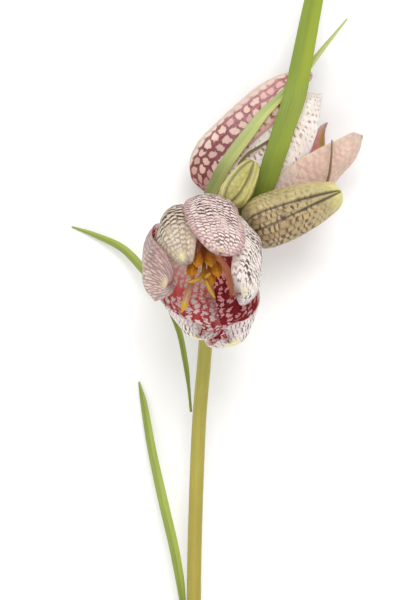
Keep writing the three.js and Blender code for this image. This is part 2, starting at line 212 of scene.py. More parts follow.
def sheet_faces(rows, columns):
    """The faces of a closed sheet between an upper and a lower grid, with a slot for each face."""
    top = np.arange(rows * columns).reshape(rows, columns)
    low = top + rows * columns
    sides = [
        (top[:-1, :-1], top[1:, :-1], top[1:, 1:], top[:-1, 1:]),
        (low[:-1, :-1], low[:-1, 1:], low[1:, 1:], low[1:, :-1]),
        (top[:-1, 0], low[:-1, 0], low[1:, 0], top[1:, 0]),
        (top[1:, -1], low[1:, -1], low[:-1, -1], top[:-1, -1]),
        (top[0, 1:], low[0, 1:], low[0, :-1], top[0, :-1]),
        (top[-1, :-1], low[-1, :-1], low[-1, 1:], top[-1, 1:]),
    ]
    sides = [np.stack(corners, axis=-1).reshape(-1, 4) for corners in sides]
    slots = [int(number == 1) for number, side in enumerate(sides) for _ in side]
    return np.concatenate(sides), slots


def facing_out(points, faces):
    """The same faces, turned over if they enclose a negative volume."""
    a, b, c, d = (points[faces[:, k]] for k in range(4))
    volume = np.einsum("ij,ij->", a, np.cross(b, c)) + np.einsum("ij,ij->", a, np.cross(c, d))
    return faces if volume > 0 else faces[:, ::-1]


def finish(piece, slot, *nodes):
    """Sets the piece in place of its CAD nodes, on the one body of the part."""
    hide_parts(*nodes)
    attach(piece, "root")


# Node trees


class Value:
    """An output in a node tree that can be calculated with."""

    def __init__(self, wiring, socket):
        self.wiring, self.socket = wiring, socket

    def __rsub__(self, other):
        return self.wiring.math("SUBTRACT", other, self)

    def __abs__(self):
        return self.wiring.math("ABSOLUTE", self)


def calculation(operation):
    return lambda value, other: value.wiring.math(operation, value, other)


SIGNS = dict(add="ADD", sub="SUBTRACT", mul="MULTIPLY", truediv="DIVIDE", pow="POWER", mod="FLOORED_MODULO")
for sign, operation in SIGNS.items():
    setattr(Value, f"__{sign}__", calculation(operation))


class Wiring:
    """Adds nodes to a tree and joins each number or output that it is given."""

    def __init__(self, tree):
        self.tree = tree
        self.count = 0

    def node(self, kind, **settings):
        made = self.tree.nodes.new(kind)
        made.location = (200 * (self.count % 12), -220 * (self.count // 12))
        self.count += 1
        for name, value in settings.items():
            setattr(made, name, value)
        return made

    def join(self, value, socket):
        if isinstance(value, Value):
            self.tree.links.new(value.socket, socket)
        else:
            socket.default_value = value

    def put(self, kind, inputs=None, output=0, **settings):
        """Adds a node, fills its inputs by name or number and returns one of its outputs."""
        made = self.node(kind, **settings)
        for key, value in (inputs or {}).items():
            self.join(value, made.inputs[key])
        return Value(self, made.outputs[output])

    def give(self, **results):
        """Joins the results to outputs of the whole tree, and returns the tree."""
        for name in results:
            kind = name if name in ("Color", "Geometry") else "Float"
            self.tree.interface.new_socket(name, in_out="OUTPUT", socket_type="NodeSocket" + kind)
        ends = self.node("NodeGroupOutput").inputs
        for name, value in results.items():
            self.join(value, ends[name])
        return self.tree

    def math(self, operation, *values):
        return self.put("ShaderNodeMath", dict(enumerate(values)), operation=operation)

    def step(self, value, low, high):
        """Rises smoothly from 0 to 1 as the value goes from low to high."""
        inputs = {"Value": value, "From Min": low, "From Max": high}
        return self.put("ShaderNodeMapRange", inputs, "Result", interpolation_type="SMOOTHSTEP", clamp=True)

    def fall(self, value, low, high):
        return 1.0 - self.step(value, low, high)

    def mix(self, share, first, second, blend="MIX"):
        inputs = {0: share, 6: first, 7: second}
        return self.put("ShaderNodeMix", inputs, 2, data_type="RGBA", blend_type=blend, clamp_factor=True)

    def layered(self, colour_now, *layers):
        """Mixes layers, each a share and a colour, one after another over a colour."""
        for share, over in layers:
            colour_now = self.mix(share, colour_now, over)
        return colour_now

    def shaded(self, colour_now, shade):
        return self.mix(1.0, colour_now, self.point(shade, shade, shade), "MULTIPLY")

    def between(self, share, first, second):
        inputs = {0: share, 2: first, 3: second}
        return self.put("ShaderNodeMix", inputs, data_type="FLOAT", clamp_factor=True)

    def point(self, x, y, z=0.0):
        return self.put("ShaderNodeCombineXYZ", {0: x, 1: y, 2: z})

    def split(self, vector, kind="ShaderNodeSeparateXYZ"):
        made = self.node(kind)
        self.join(vector, made.inputs[0])
        return [Value(self, socket) for socket in made.outputs]

    def scaled(self, vector, share):
        return self.put("ShaderNodeVectorMath", {0: vector, "Scale": share}, operation="SCALE")

    def noise(self, vector, scale=1.0, detail=2.0, rough=0.5, output=0):
        inputs = {"Vector": vector, "Scale": scale, "Detail": detail, "Roughness": rough}
        return self.put("ShaderNodeTexNoise", inputs, output)

    def offsets(self, vector):
        """Three numbers round zero from one noise."""
        parts = self.split(self.noise(vector, output="Color"), "ShaderNodeSeparateColor")
        return [part - 0.5 for part in parts]

    def chance(self, vector):
        return self.put("ShaderNodeTexWhiteNoise", {"Vector": vector}, "Value", noise_dimensions="3D")


GREY = (0.5, 0.5, 0.5, 1)
SOCKETS = {float: "Float", int: "Int", tuple: "Color"}


def title(name):
    """A socket's name in Blender: ground_at_tip is Ground at tip."""
    return name.replace("_", " ").capitalize()


def new_tree(kind, name, **inputs):
    """An empty node tree. Gives what adds nodes to it and its inputs, each of which is described by
    its default, or by its kind where it has none."""
    tree = bpy.data.node_groups.new(name, kind)
    for key, value in inputs.items():
        socket_type = "NodeSocket" + SOCKETS.get(type(value), value)
        socket = tree.interface.new_socket(title(key), in_out="INPUT", socket_type=socket_type)
        if not isinstance(value, str):
            socket.default_value = value
    w = Wiring(tree)
    given = w.node("NodeGroupInput").outputs
    return w, SimpleNamespace(**{key: Value(w, given[title(key)]) for key in inputs})


def shared(name, build):
    """The node tree of that name, built the first time that it is asked for."""
    return bpy.data.node_groups.get(name) or build()


def markings_group():
    """The chequered markings of a fritillary: cells in columns between the veins, row by row, with
    every second column half a row on. Across runs from 0 to 1, and along is in SURFACE_MM."""
    w, given = new_tree(
        "ShaderNodeTree", "Fritillary markings",
        surface="Vector", place="Vector", columns=9.0, row=1.5, wander=0.5, seed=0.0, ground=GREY,
        ground_at_tip=GREY, mottle=0.3, cell=GREY, cell_amount=0.0, cell_height=0.7, cell_width=0.8,
        cell_skip=0.0, dash=GREY, dash_at_seat=1.0, dash_at_tip=0.5, dash_thickness=0.14,
        dash_length=0.42, vein=GREY, vein_amount=0.2, seat_tint=GREY, seat_amount=0.0, rim=GREY,
        rim_amount=0.0, rim_width=1.0, side=GREY, side_amount=0.0, side_start=0.5, side_blend=0.06,
        band=GREY, band_amount=0.0, band_place=0.5, band_end=0.4, tip=GREY, tip_amount=0.0,
        tip_start=0.88, brightness=0.87,
    )
    across, along, _ = w.split(given.surface)
    share, margin, _ = w.split(given.place)
    mm = along * SURFACE_MM
    aside, ahead, patch = w.offsets(w.point(across * 4.0, mm * 0.2, given.seed))
    rough_aside, rough_ahead, blot = w.offsets(w.point(across * 26.0, mm * 1.1, given.seed))
    fibres = w.noise(w.point(across * 110.0, mm * 0.6, given.seed))

    column_place = aside * given.wander * 1.4 + across * given.columns
    column_place = rough_aside * given.wander * 0.7 + column_place
    column = w.math("FLOOR", column_place)
    in_column = w.math("FRACT", column_place) - 0.5
    from_middle = abs(in_column)
    own = w.chance(w.point(column, given.seed, 3.7)) * given.wander
    row_place = mm / given.row + column % 2.0 * 0.5
    row_place = ahead * given.wander * 2.6 + row_place
    row_place = rough_ahead * given.wander * 0.9 + row_place
    row_place = in_column * in_column * -0.5 + (own * 0.35 + row_place)
    row = w.math("FLOOR", row_place)
    from_row = abs(w.math("FRACT", row_place) - 0.5)
    luck = w.chance(w.point(column, row, given.seed))

    # The ground goes from the seat to the tip, with pale patches
    ground = w.mix(w.step(share, 0.25, 0.75), given.ground, given.ground_at_tip)
    mottle = w.step(patch, -0.2, 0.25) * given.mottle

    # The pale cells, and the veins between their columns
    round_height = (from_row / (given.cell_height * 0.5)) ** 2.4
    round_width = (from_middle / (given.cell_width * 0.5)) ** 2.4
    cell = w.fall(round_height + round_width, 0.65, 1.35) * given.cell_amount * (luck * 0.5 + 0.62)
    cell = cell * w.step(luck, given.cell_skip - 0.08, given.cell_skip)
    vein = w.step(from_middle, 0.38, 0.48) * given.vein_amount * w.step(blot, -0.2, 0.1)

    # The dark dashes across each column
    low = 0.43 - given.dash_thickness
    line = w.step(from_row, low, 0.53 - given.dash_thickness)
    halo = w.step(from_row, low - 0.12, 0.5) * 0.3
    reach = luck * 0.3 + (given.dash_length - 0.2)
    line = w.math("MAXIMUM", line, halo) * w.fall(from_middle, reach, reach + 0.12)
    strength = w.between(w.step(share, 0.3, 0.8), given.dash_at_seat, given.dash_at_tip)
    strength = strength * (w.step(luck, 0.05, 0.45) * 0.9 + 0.2)
    strength = strength * (w.step(patch, -0.15, 0.1) * 0.5 + 0.6)

    # The flush at the seat, the margin, one side, a band and the tip. On some tepals and on the large bud,
    # the seat or the side is painted light
    seat = w.fall(share, 0.03, 0.4) * given.seat_amount
    inward = margin * MARGIN_MM + (fibres * 1.2 - 0.6)
    rim = w.fall(inward, 0.0, given.rim_width) * given.rim_amount
    side = w.step(blot * 0.12 + across, given.side_start, given.side_start + given.side_blend)
    from_band = abs(blot * 0.04 + across - given.band_place)
    band = w.fall(from_band, 0.06, 0.1) * w.fall(share, given.band_end, given.band_end + 0.08)
    tip = w.step(share, given.tip_start, given.tip_start + 0.06) * w.fall(abs(across - 0.5), 0.1, 0.3)

    colour_now = w.layered(
        ground,
        (mottle, given.cell),
        (cell, given.cell),
        (vein, given.vein),
        (line * strength, given.dash),
        (seat, given.seat_tint),
        (rim, given.rim),
        (side * given.side_amount, given.side),
        (band * given.band_amount, given.band),
        (tip * given.tip_amount, given.tip),
    )
    # A brightness above one paints light into the colour
    shade = fibres * 0.26 + (patch * 0.3 + given.brightness)
    hump = w.fall(w.math("MAXIMUM", from_row, from_middle), 0.2, 0.5)
    return w.give(
        Color=w.shaded(colour_now, shade), Height=hump * 0.6 + fibres * 0.4, Dullness=fibres * 0.22 + 0.4
    )


def veins_group():
    """Parallel veins of a leaf: fine pale and dark lines along it, with slow patches, over a painted lit
    half and a painted shaded half.
    """
    w, given = new_tree(
        "ShaderNodeTree", "Parallel veins",
        surface="Vector", lines=24.0, left=GREY, right=GREY, base=GREY, base_end=0.3, midrib=GREY,
        midrib_amount=0.3, contrast=0.2,
    )
    across, along, _ = w.split(given.surface)
    lines = w.noise(w.point(across * given.lines, along * 3.0), detail=3.0)
    fine = w.noise(w.point(across * 90.0, along * 14.0, 5.0))
    patches = w.noise(w.point(across * 1.5, along * 9.0, 2.0))
    colour_now = w.layered(
        given.left,
        # Painted light: the half past the middle is painted lighter as lit, over the other half painted
        # greyer as shaded
        (w.step(patches * 0.1 + across, 0.42, 0.58), given.right),
        (w.fall(patches * 0.1 + along, 0.02, given.base_end) * 0.85, given.base),
        (w.fall(abs(across - 0.5), 0.01, 0.06) * given.midrib_amount, given.midrib),
    )
    both = lines * 0.65 + fine * 0.35
    shade = (both - 0.5) * (given.contrast * 2.0) + 1.0 + (patches - 0.5) * 0.35
    return w.give(Color=w.shaded(colour_now, shade), Height=both, Dullness=fine * 0.2 + 0.32)


def grain_group():
    """A fine grain on object coordinates, for small soft parts such as anthers."""
    w, given = new_tree(
        "ShaderNodeTree", "Fine grain", place="Vector", scale=1000.0, base=GREY, spots=GREY, amount=0.4
    )
    coarse = w.noise(given.place, given.scale, 4.0, 0.6)
    share = w.step(coarse, 0.4, 0.68) * given.amount
    return w.give(Color=w.mix(share, given.base, given.spots), Height=coarse)


def new_material(name, looks, bump, bump_mm, **shader):
    """A material of one Principled BSDF. The function looks adds the other nodes and gives a colour, a
    height and a roughness."""
    made = bpy.data.materials.new(name)
    made.use_nodes = True
    made.node_tree.nodes.clear()
    w = Wiring(made.node_tree)
    colour_now, height, roughness = looks(w)
    normal = w.put("ShaderNodeBump", {"Strength": bump, "Distance": bump_mm * MM, "Height": height})
    inputs = {"Base Color": colour_now, "Roughness": roughness, "Normal": normal}
    inputs.update((key.replace("_", " "), value) for key, value in shader.items())
    w.join(w.put("ShaderNodeBsdfPrincipled", inputs), w.node("ShaderNodeOutputMaterial").inputs["Surface"])
    return made


def surface_material(name, group, maps, values, under=None, roughness=None, **rest):
    """A material whose colour, bump and gloss come from a shader group with its own values: numbers,
    colours as paint takes them, or a user's colours. A second group and its maps and values may lie
    under it, and give it its skin."""

    def looks(w):
        marks = None
        for tree, its_maps, its_values in filter(None, (under, (group, maps, values))):
            skin, marks = marks, w.node("ShaderNodeGroup", node_tree=tree)
            if skin:
                w.join(Value(w, skin.outputs["Color"]), marks.inputs["Skin"])
            for socket_name, source in its_maps.items():
                if source == "Object":
                    w.join(w.put("ShaderNodeTexCoord", output="Object"), marks.inputs[socket_name])
                else:
                    w.join(w.put("ShaderNodeUVMap", uv_map=source), marks.inputs[socket_name])
            for key, value in its_values.items():
                if isinstance(value, tuple):
                    value = paint(*value)
                w.join(value if isinstance(value, float) else (*value, 1), marks.inputs[title(key)])
        results = [Value(w, socket) for socket in marks.outputs]
        return results if roughness is None else (*results, roughness)

    return new_material(name, looks, **rest)


# The blooms: six tepals on one bell-shaped surface, three outside and three inside

PROFILE_RADIUS = [0.17, 0.52, 0.86, 1.0, 1.02, 1.0, 0.95, 0.83, 0.6]
PROFILE_HEIGHT = [0.01, -0.01, 0.035, 0.16, 0.33, 0.51, 0.68, 0.85, 0.98]
PROFILE_GAPE = [0, 0, 0, 0.03, 0.1, 0.25, 0.48, 0.75, 1.0]
TEPAL_OUTLINE = [0.8, 0.87, 0.96, 1.0, 1.0, 0.97, 0.93]
TEPAL_LAYER = 0.7
TEPAL_STEPS = (120, 72)
FRONT_SEED = 1
BACK_SEED = 21


class Bloom:
    """One bloom's own frame and bell."""

    def __init__(self, seat, axis, up, squash, radius, length, gape, to_one_side, side, longer, cup):
        self.origin = np.array(seat, float)
        self.a = unit(np.array(axis, float))
        up = np.array(up, float)
        self.u = unit(up - self.a * up.dot(self.a))
        self.v = np.cross(self.u, self.a)
        self.squash, self.radius, self.length, self.gape = squash, radius, length, gape
        self.to_one_side, self.side, self.longer, self.cup = to_one_side, math.radians(side), longer, cup

    def point(self, height, out, angle):
        height, out, angle = np.broadcast_arrays(height, out, angle)
        squash = 1 - (1 - self.squash) * smooth(2.5, 9, out)
        along_u = (out * np.cos(angle) * squash)[..., None] * self.u
        along_v = (out * np.sin(angle))[..., None] * self.v
        return self.origin + height[..., None] * self.a + along_u + along_v

    def bell(self, angle, t):
        one_side = np.cos(angle - self.side)
        gape = self.gape + self.to_one_side * one_side
        out = self.radius * (through(PROFILE_RADIUS, t) + gape * through(PROFILE_GAPE, t))
        length = self.length * (1 + self.longer * one_side)
        height = length * (through(PROFILE_HEIGHT, t) - 0.25 * gape * gape * through(PROFILE_GAPE, t))
        return self.point(height, out, angle)

    def normal(self, angle, t):
        step = 0.01
        along = self.bell(angle, np.minimum(t + step, 1)) - self.bell(angle, np.maximum(t - step, 0))
        around = self.bell(angle + step, t) - self.bell(angle - step, t)
        return unit(np.cross(along, around))


FRONT = Bloom([-4.7, 56.2, 40.5], [0, -0.52, 0.854], [0, 1, 0], 1, 14.1, 34.5, 0.22, 0.14, 130, 0.08, 2.4)
BACK = Bloom([1.05, 65.85, 13.9], [0.72, 0.69, 0], [0, 0, 1], 0.762, 16, 40, 0.1, 0, 62, 0.06, 1.4)


def tepal_row(angle, outer, turn, bend, wide, point, reach, end_start=0.62, curl=(0, 0)):
    angle, turn, wide = math.radians(angle), math.radians(turn), math.radians(wide)
    return dict(
        angle=angle, outer=outer, turn=turn, bend=bend, wide=wide, point=point, reach=reach,
        end_start=end_start, curl=curl,
    )


FRONT_TEPALS = {
    "front_tepal_outer_top": tepal_row(8, True, 10, 0, 28.5, 0.5, 0.9, 0.74),
    "front_tepal_outer_left": tepal_row(261, True, 22, -4.2, 34, 0.5, 0.9, 0.78, (1, 0)),
    "front_tepal_outer_low": tepal_row(147, True, 2, -2.2, 34, 0.5, 1, 0.62, (2.6, 0)),
    "front_tepal_inner_upper_left": tepal_row(321, False, 8, -1.5, 35, 0.65, 0.9, 0.4),
    "front_tepal_inner_right": tepal_row(80, False, -4, -3.5, 38, 0.5, 0.955, 0.74),
    "front_tepal_inner_low": tepal_row(203, False, -14, -1.6, 36, 0.5, 0.99, 0.62, (0, 1.4)),
}
BACK_TEPALS = {
    "back_tepal_outer_left": tepal_row(62, True, -6, -1, 37, 0.65, 1),
    "back_tepal_outer_right": tepal_row(-52, True, -8, 2, 37, 0.5, 1, 0.6, (2.5, 0)),
    "back_tepal_outer_low": tepal_row(180, True, -4, 0, 34, 0.6, 0.92),
    "back_tepal_inner_top": tepal_row(6, False, 13, -1, 38, 0.65, 0.99),
    "back_tepal_inner_left": tepal_row(123, False, 0, -1, 36, 0.6, 1),
    "back_tepal_inner_right": tepal_row(-117, False, -42, -2, 24, 0.7, 1, 0.4),
}


def layer_lift(outer, t, x):
    body = smooth(0.05, 0.3, t)
    boss = 0.7 * np.exp(-(((t - 0.2) / 0.07) ** 2) - (x / 0.3) ** 2)
    if outer:
        return TEPAL_LAYER + body * 0.7 * (1 - x * x) + boss
    crown = 1.2 * np.maximum(0, 1 - (x / 0.5) ** 2) * (1 - smooth(0.4, 0.75, t))
    return -TEPAL_LAYER + body * crown + boss * (1 - smooth(0.3, 0.6, np.abs(x)))


def lumps(x, share, seed):
    """Broad uneven dents and bulges over a tepal, from about -1 to 1."""
    phase = np.random.default_rng(seed).uniform(0, 2 * math.pi, 6)
    total = np.sin(4.2 * x + 5 * share + phase[0]) * np.sin(9 * share - 2 * x + phase[1])
    total += 0.7 * np.sin(7.5 * x - 6 * share + phase[2]) * np.cos(14 * share + phase[3])
    total += 0.5 * np.sin(11 * x + phase[4]) * np.sin(21 * share + 3 * x + phase[5])
    return total / 1.6


def tepal_object(name, bloom, row, settings, seed, columns, row_mm):
    """One tepal as a thin closed sheet, with its ripple, its veins and two maps for the markings."""
    rows, cells = TEPAL_STEPS
    along = np.linspace(0, 1, rows + 1)
    share, x = np.meshgrid(1 - (1 - along) ** 1.3, np.linspace(-1, 1, cells + 1), indexing="ij")
    t = row["reach"] * share
    middle_angle = row["angle"] + row["turn"] * smooth(0.45, 1, share)
    q = np.clip((share - row["end_start"]) / (1 - row["end_start"]), 0, 1)
    half = row["wide"] * through(TEPAL_OUTLINE, share) * np.maximum((1 - q * q) ** row["point"], 0.05)
    place = middle_angle + half * x
    normal = bloom.normal(place, t)
    free = smooth(0.76 if row["outer"] else 0.6, 1, share)
    lift = layer_lift(row["outer"], t, x)
    lift += free * (row["bend"] - (0.4 if row["outer"] else 1) * bloom.cup * x * x)
    rolled_in = np.where(x < 0, *row["curl"]) * smooth(0.25, 1, np.abs(x))
    lift -= smooth(0.6, 0.88, share) * rolled_in
    wave = np.sin(9 * share + 2.1 * seed) + 0.6 * np.sin(17 * share + 1.3 * seed + 2 * np.sign(x))
    lift += settings.ripple * 0.5 * wave * np.abs(x) ** 5 * smooth(0.3, 0.6, share)
    lift += settings.lumps * lumps(x, share, seed) * smooth(0.08, 0.3, share)
    cell_rows = row["reach"] * bloom.length * 1.25 * share / row_mm
    quilt = np.cos(math.pi * (columns * (x + 1) / 2 - 0.5)) * np.cos(2 * math.pi * cell_rows)
    lift += settings.relief * quilt * smooth(0.05, 0.2, share)
    centre = bloom.bell(place, t) + normal * lift[..., None]
    inner = (1 - np.abs(x) ** 3) * (1 - smooth(0.85, 1, share))
    thick = settings.edge + (settings.middle - settings.edge) * inner
    outside = centre + normal * thick[..., None] / 2
    inside = centre - normal * thick[..., None] / 2
    sunk = np.maximum(-outside[..., 2], 0)
    outside[..., 2] += sunk
    inside[..., 2] += sunk

    steps = np.linalg.norm(np.diff(centre[:, cells // 2], axis=0), axis=1)
    run = np.concatenate([[0], np.cumsum(steps)])[:, None] * np.ones_like(x)
    aside = np.linalg.norm(np.diff(centre, axis=1), axis=2)
    left = np.concatenate([np.zeros((rows + 1, 1)), np.cumsum(aside, axis=1)], axis=1)
    margin = np.minimum(np.minimum(left, left[:, -1:] - left), (run[-1] - run) * 1.2 + 0.1)
    surface = pairs_of((x + 1) / 2, run / SURFACE_MM)
    where = pairs_of(share, np.clip(margin / MARGIN_MM, 0, 1))
    faces, slots = sheet_faces(rows + 1, cells + 1)
    points = np.concatenate([outside.reshape(-1, 3), inside.reshape(-1, 3)])
    maps = {"Surface": np.concatenate([surface] * 2), "Place": np.concatenate([where] * 2)}
    return mesh_object(name + "_skin", points, facing_out(points, faces).tolist(), maps, slots)


MARK_MAPS = {"Surface": "Surface", "Place": "Place"}

PALE_OUTSIDE = dict(
    columns=9.0, row=1.45, wander=0.8, ground=(210, 180, 174), ground_at_tip=(216, 188, 182),
    cell=(252, 236, 230), cell_amount=0.5, cell_height=0.66, dash_at_seat=1.7, dash_at_tip=0.75,
    dash_thickness=0.22, dash_length=0.46, vein=(146, 100, 102), vein_amount=0.62,
    seat_tint=(176, 142, 134), seat_amount=0.4, rim=(166, 120, 122), rim_amount=0.7, rim_width=2.2,
    tip_amount=0.6, tip_start=0.95,
)
CRIMSON_INSIDE = dict(
    columns=9.0, row=2.3, wander=1.25, ground=(160, 26, 46), mottle=0.0, cell=(255, 214, 214),
    cell_amount=1.25, cell_height=0.66, cell_width=0.74, cell_skip=0.28, dash_at_seat=0.0,
    dash_at_tip=0.0, vein=(116, 20, 36), vein_amount=0.5, seat_tint=(176, 120, 86), seat_amount=0.8,
    rim=(238, 218, 212), rim_amount=0.95, rim_width=2.6, tip_amount=1.0, tip_start=0.88,
)

LOW_OUTSIDE = dict(
    ground=(240, 222, 216), ground_at_tip=(240, 224, 218), cell_amount=0.3, dash_at_seat=0.9,
    dash_at_tip=0.9, dash_thickness=0.16, dash_length=0.34, rim_amount=0.2, tip_amount=1.0,
    tip_start=0.87,
)
FLUSHED_INSIDE = dict(ground=(214, 130, 128), ground_at_tip=(214, 138, 134), cell_amount=0.5)

# What each tepal changes of the pale outside and of the crimson inside
TEPAL_LOOKS = {
    "front_tepal_outer_top": (dict(dash_at_seat=2.1, dash_length=0.5, seat_amount=0.25), {}),
    "front_tepal_outer_left": (
        dict(
            columns=17.0, row=4.4, ground=(138, 108, 110), ground_at_tip=(176, 150, 140),
            cell=(236, 214, 206), cell_amount=0.55, cell_width=0.5, vein=(88, 58, 60), vein_amount=1.0,
            dash=(104, 76, 66), dash_at_seat=0.5, dash_at_tip=0.35, dash_thickness=0.1, dash_length=0.5,
            seat_tint=(146, 106, 112), seat_amount=0.8, rim_amount=0.3, side=(116, 78, 92),
            side_amount=0.36, side_start=0.5, side_blend=0.5, tip_start=0.92,
        ),
        {},
    ),
    "front_tepal_outer_low": (
        LOW_OUTSIDE,
        dict(
            cell_skip=0.38, cell=(255, 200, 204), seat_amount=0.3, band=(224, 176, 142),
            band_amount=0.95, band_place=0.52, band_end=0.36,
        ),
    ),
    "front_tepal_inner_upper_left": (
        dict(
            columns=8.0, row=1.85, ground=(180, 160, 140), ground_at_tip=(184, 166, 146),
            cell=(236, 224, 204), dash=(78, 56, 44), dash_at_seat=2.3, dash_at_tip=0.25,
            dash_thickness=0.2, rim=(214, 196, 170), vein=(134, 112, 94), vein_amount=0.6,
            seat_tint=(176, 154, 134), tip_amount=0.9, tip_start=0.88,
        ),
        {},
    ),
    "front_tepal_inner_right": (
        dict(
            columns=10.0, row=1.75, wander=1.0, ground=(224, 204, 194), ground_at_tip=(236, 222, 210),
            cell=(254, 246, 238), dash=(78, 44, 44), dash_at_seat=2.1, dash_at_tip=0.8,
            dash_thickness=0.225, dash_length=0.4, rim=(214, 186, 176), rim_amount=0.4,
            vein_amount=0.35, tip_amount=0.7, tip_start=0.92,
        ),
        # Painted shade: the inside is its own pink darkened to the dull brownish pink it shows in the shade
        # deep in the bell
        dict(ground=(176, 112, 90), ground_at_tip=(170, 100, 86), cell_amount=0.2),
    ),
    "front_tepal_inner_low": (
        LOW_OUTSIDE,
        dict(
            columns=8.0, row=2.6, ground=(250, 150, 150), ground_at_tip=(150, 10, 38),
            cell=(255, 218, 216), cell_amount=1.7, cell_height=0.7, cell_width=0.72, cell_skip=0.14,
            # Painted light: the pale seat, the pale pink ground by it and a brightness above one stand for
            # light coming through the thin tepals into the bell, over the tepal's own crimson and white
            seat_tint=(255, 226, 214), rim_amount=0.15, side=(240, 222, 214), side_amount=0.9,
            side_start=0.9, brightness=1.1,
        ),
    ),
    "back_tepal_outer_left": (
        dict(
            columns=6.0, row=2.8, wander=0.5, ground=(106, 34, 42), ground_at_tip=(186, 130, 138),
            mottle=0.12, cell=(230, 198, 184), cell_amount=0.95, cell_height=0.76, cell_width=0.74,
            dash=(104, 50, 56), dash_at_seat=0.0, dash_at_tip=0.6, dash_thickness=0.1, dash_length=0.2,
            # Painted glow: the orange-red seat stands for light shining through the tepal, over its own
            # dark maroon ground
            vein=(126, 66, 66), seat_tint=(136, 28, 16), seat_amount=0.8, rim=(206, 164, 140),
            rim_width=1.4, side=(222, 204, 186), side_amount=0.68, side_start=0.53,
        ),
        {},
    ),
    "back_tepal_outer_right": (
        dict(
            # Partly painted light: the near-white ground and seat are the tepal's pale base, painted paler
            # to offset the shade of the leaf and the bud over it
            ground=(255, 244, 238), ground_at_tip=(206, 180, 162), cell=(228, 200, 188),
            cell_amount=0.45, cell_height=0.8, row=2.2, dash=(192, 136, 134), dash_at_seat=0.7,
            dash_at_tip=0.3, dash_length=0.3, vein=(206, 168, 158), seat_tint=(255, 244, 236),
            seat_amount=0.75, rim=(206, 188, 150), rim_amount=0.5, rim_width=1.0, tip=(150, 138, 98),
            tip_amount=0.9,
        ),
        {},
    ),
    "back_tepal_inner_top": (
        dict(
            columns=10.0, row=1.7, ground=(234, 208, 198), ground_at_tip=(240, 224, 212),
            cell=(254, 246, 238), dash=(172, 116, 112), dash_at_seat=0.9, dash_at_tip=0.7,
            dash_thickness=0.2, dash_length=0.16, vein=(222, 174, 166), vein_amount=0.3,
            seat_tint=(214, 128, 136), seat_amount=0.7, rim=(252, 244, 236), rim_amount=0.8,
            rim_width=1.6, tip_start=0.96,
        ),
        {},
    ),
    "back_tepal_inner_right": (
        dict(ground=(234, 150, 156), ground_at_tip=(234, 156, 152), cell_amount=0.3),
        dict(
            ground=(255, 176, 188), ground_at_tip=(255, 180, 180), cell_amount=0.3, rim=(240, 180, 172),
            rim_width=0.8, tip=(200, 188, 116), tip_start=0.8,
        ),
    ),
    "back_tepal_outer_low": (
        dict(ground=(222, 186, 176)),
        FLUSHED_INSIDE,
    ),
    "back_tepal_inner_left": (
        dict(ground=(226, 196, 186)),
        FLUSHED_INSIDE,
    ),
}


def tepal_materials(name, settings, seed):
    """The outside and the inside material of one tepal."""
    group = shared("Fritillary markings", markings_group)
    common = dict(seed=float(seed), dash=settings.dash, tip=settings.tip)
    outside, inside = TEPAL_LOOKS[name]
    looks = {
        "outside": {**PALE_OUTSIDE, **common, **outside},
        "inside": {**CRIMSON_INSIDE, "ground_at_tip": settings.crimson, **common, **inside},
    }
    shader = dict(Specular_IOR_Level=0.3, Subsurface_Weight=0.9, Subsurface_Radius=(1.0, 0.95, 0.92))
    shader["Subsurface_Scale"] = 1.4 * MM
    return [
        surface_material(f"{name} {side}", group, MARK_MAPS, values, bump=0.5, bump_mm=0.12, **shader)
        for side, values in looks.items()
    ]


def build_tepals(bloom, rows, first_seed):
    settings = bpy.context.scene.fritillary_tepals
    for seed, (name, row) in enumerate(rows.items(), first_seed):
        cells = {**PALE_OUTSIDE, **TEPAL_LOOKS[name][0]}
        piece = tepal_object(name, bloom, row, settings, seed, cells["columns"], cells["row"])
        for made in tepal_materials(name, settings, seed):
            piece.data.materials.append(made)
        finish(piece, "outer_tepal" if row["outer"] else "inner_tepal", name)


class FRITILLARY_OT_front_bloom(bpy.types.Operator):
    """Makes the six tepals of the near bloom"""

    bl_idname = "fritillary.front_bloom"
    bl_label = "Near bloom"

    def execute(self, context):
        build_tepals(FRONT, FRONT_TEPALS, FRONT_SEED)
        return {"FINISHED"}


class FRITILLARY_OT_back_bloom(bpy.types.Operator):
    """Makes the six tepals of the far bloom"""

    bl_idname = "fritillary.back_bloom"
    bl_label = "Far bloom"

    def execute(self, context):
        build_tepals(BACK, BACK_TEPALS, BACK_SEED)
        return {"FINISHED"}


# Stalks: a profile swept along curves, for the stem, the stamens and the pistils


def curve_object(name, runs, closed=False):
    """One curve object of poly lines, each a pair of points in mm and radii in mm."""
    data = bpy.data.curves.new(name, "CURVE")
    data.dimensions = "3D"
    for points, radii in runs:
        spline = data.splines.new("POLY")
        spline.points.add(len(points) - 1)
        flat = np.concatenate([np.asarray(points) * MM, np.ones((len(points), 1))], axis=1)
        spline.points.foreach_set("co", flat.ravel())
        spline.points.foreach_set("radius", np.asarray(radii, float) * MM)
        spline.use_cyclic_u = closed
    return new_object(name, data)


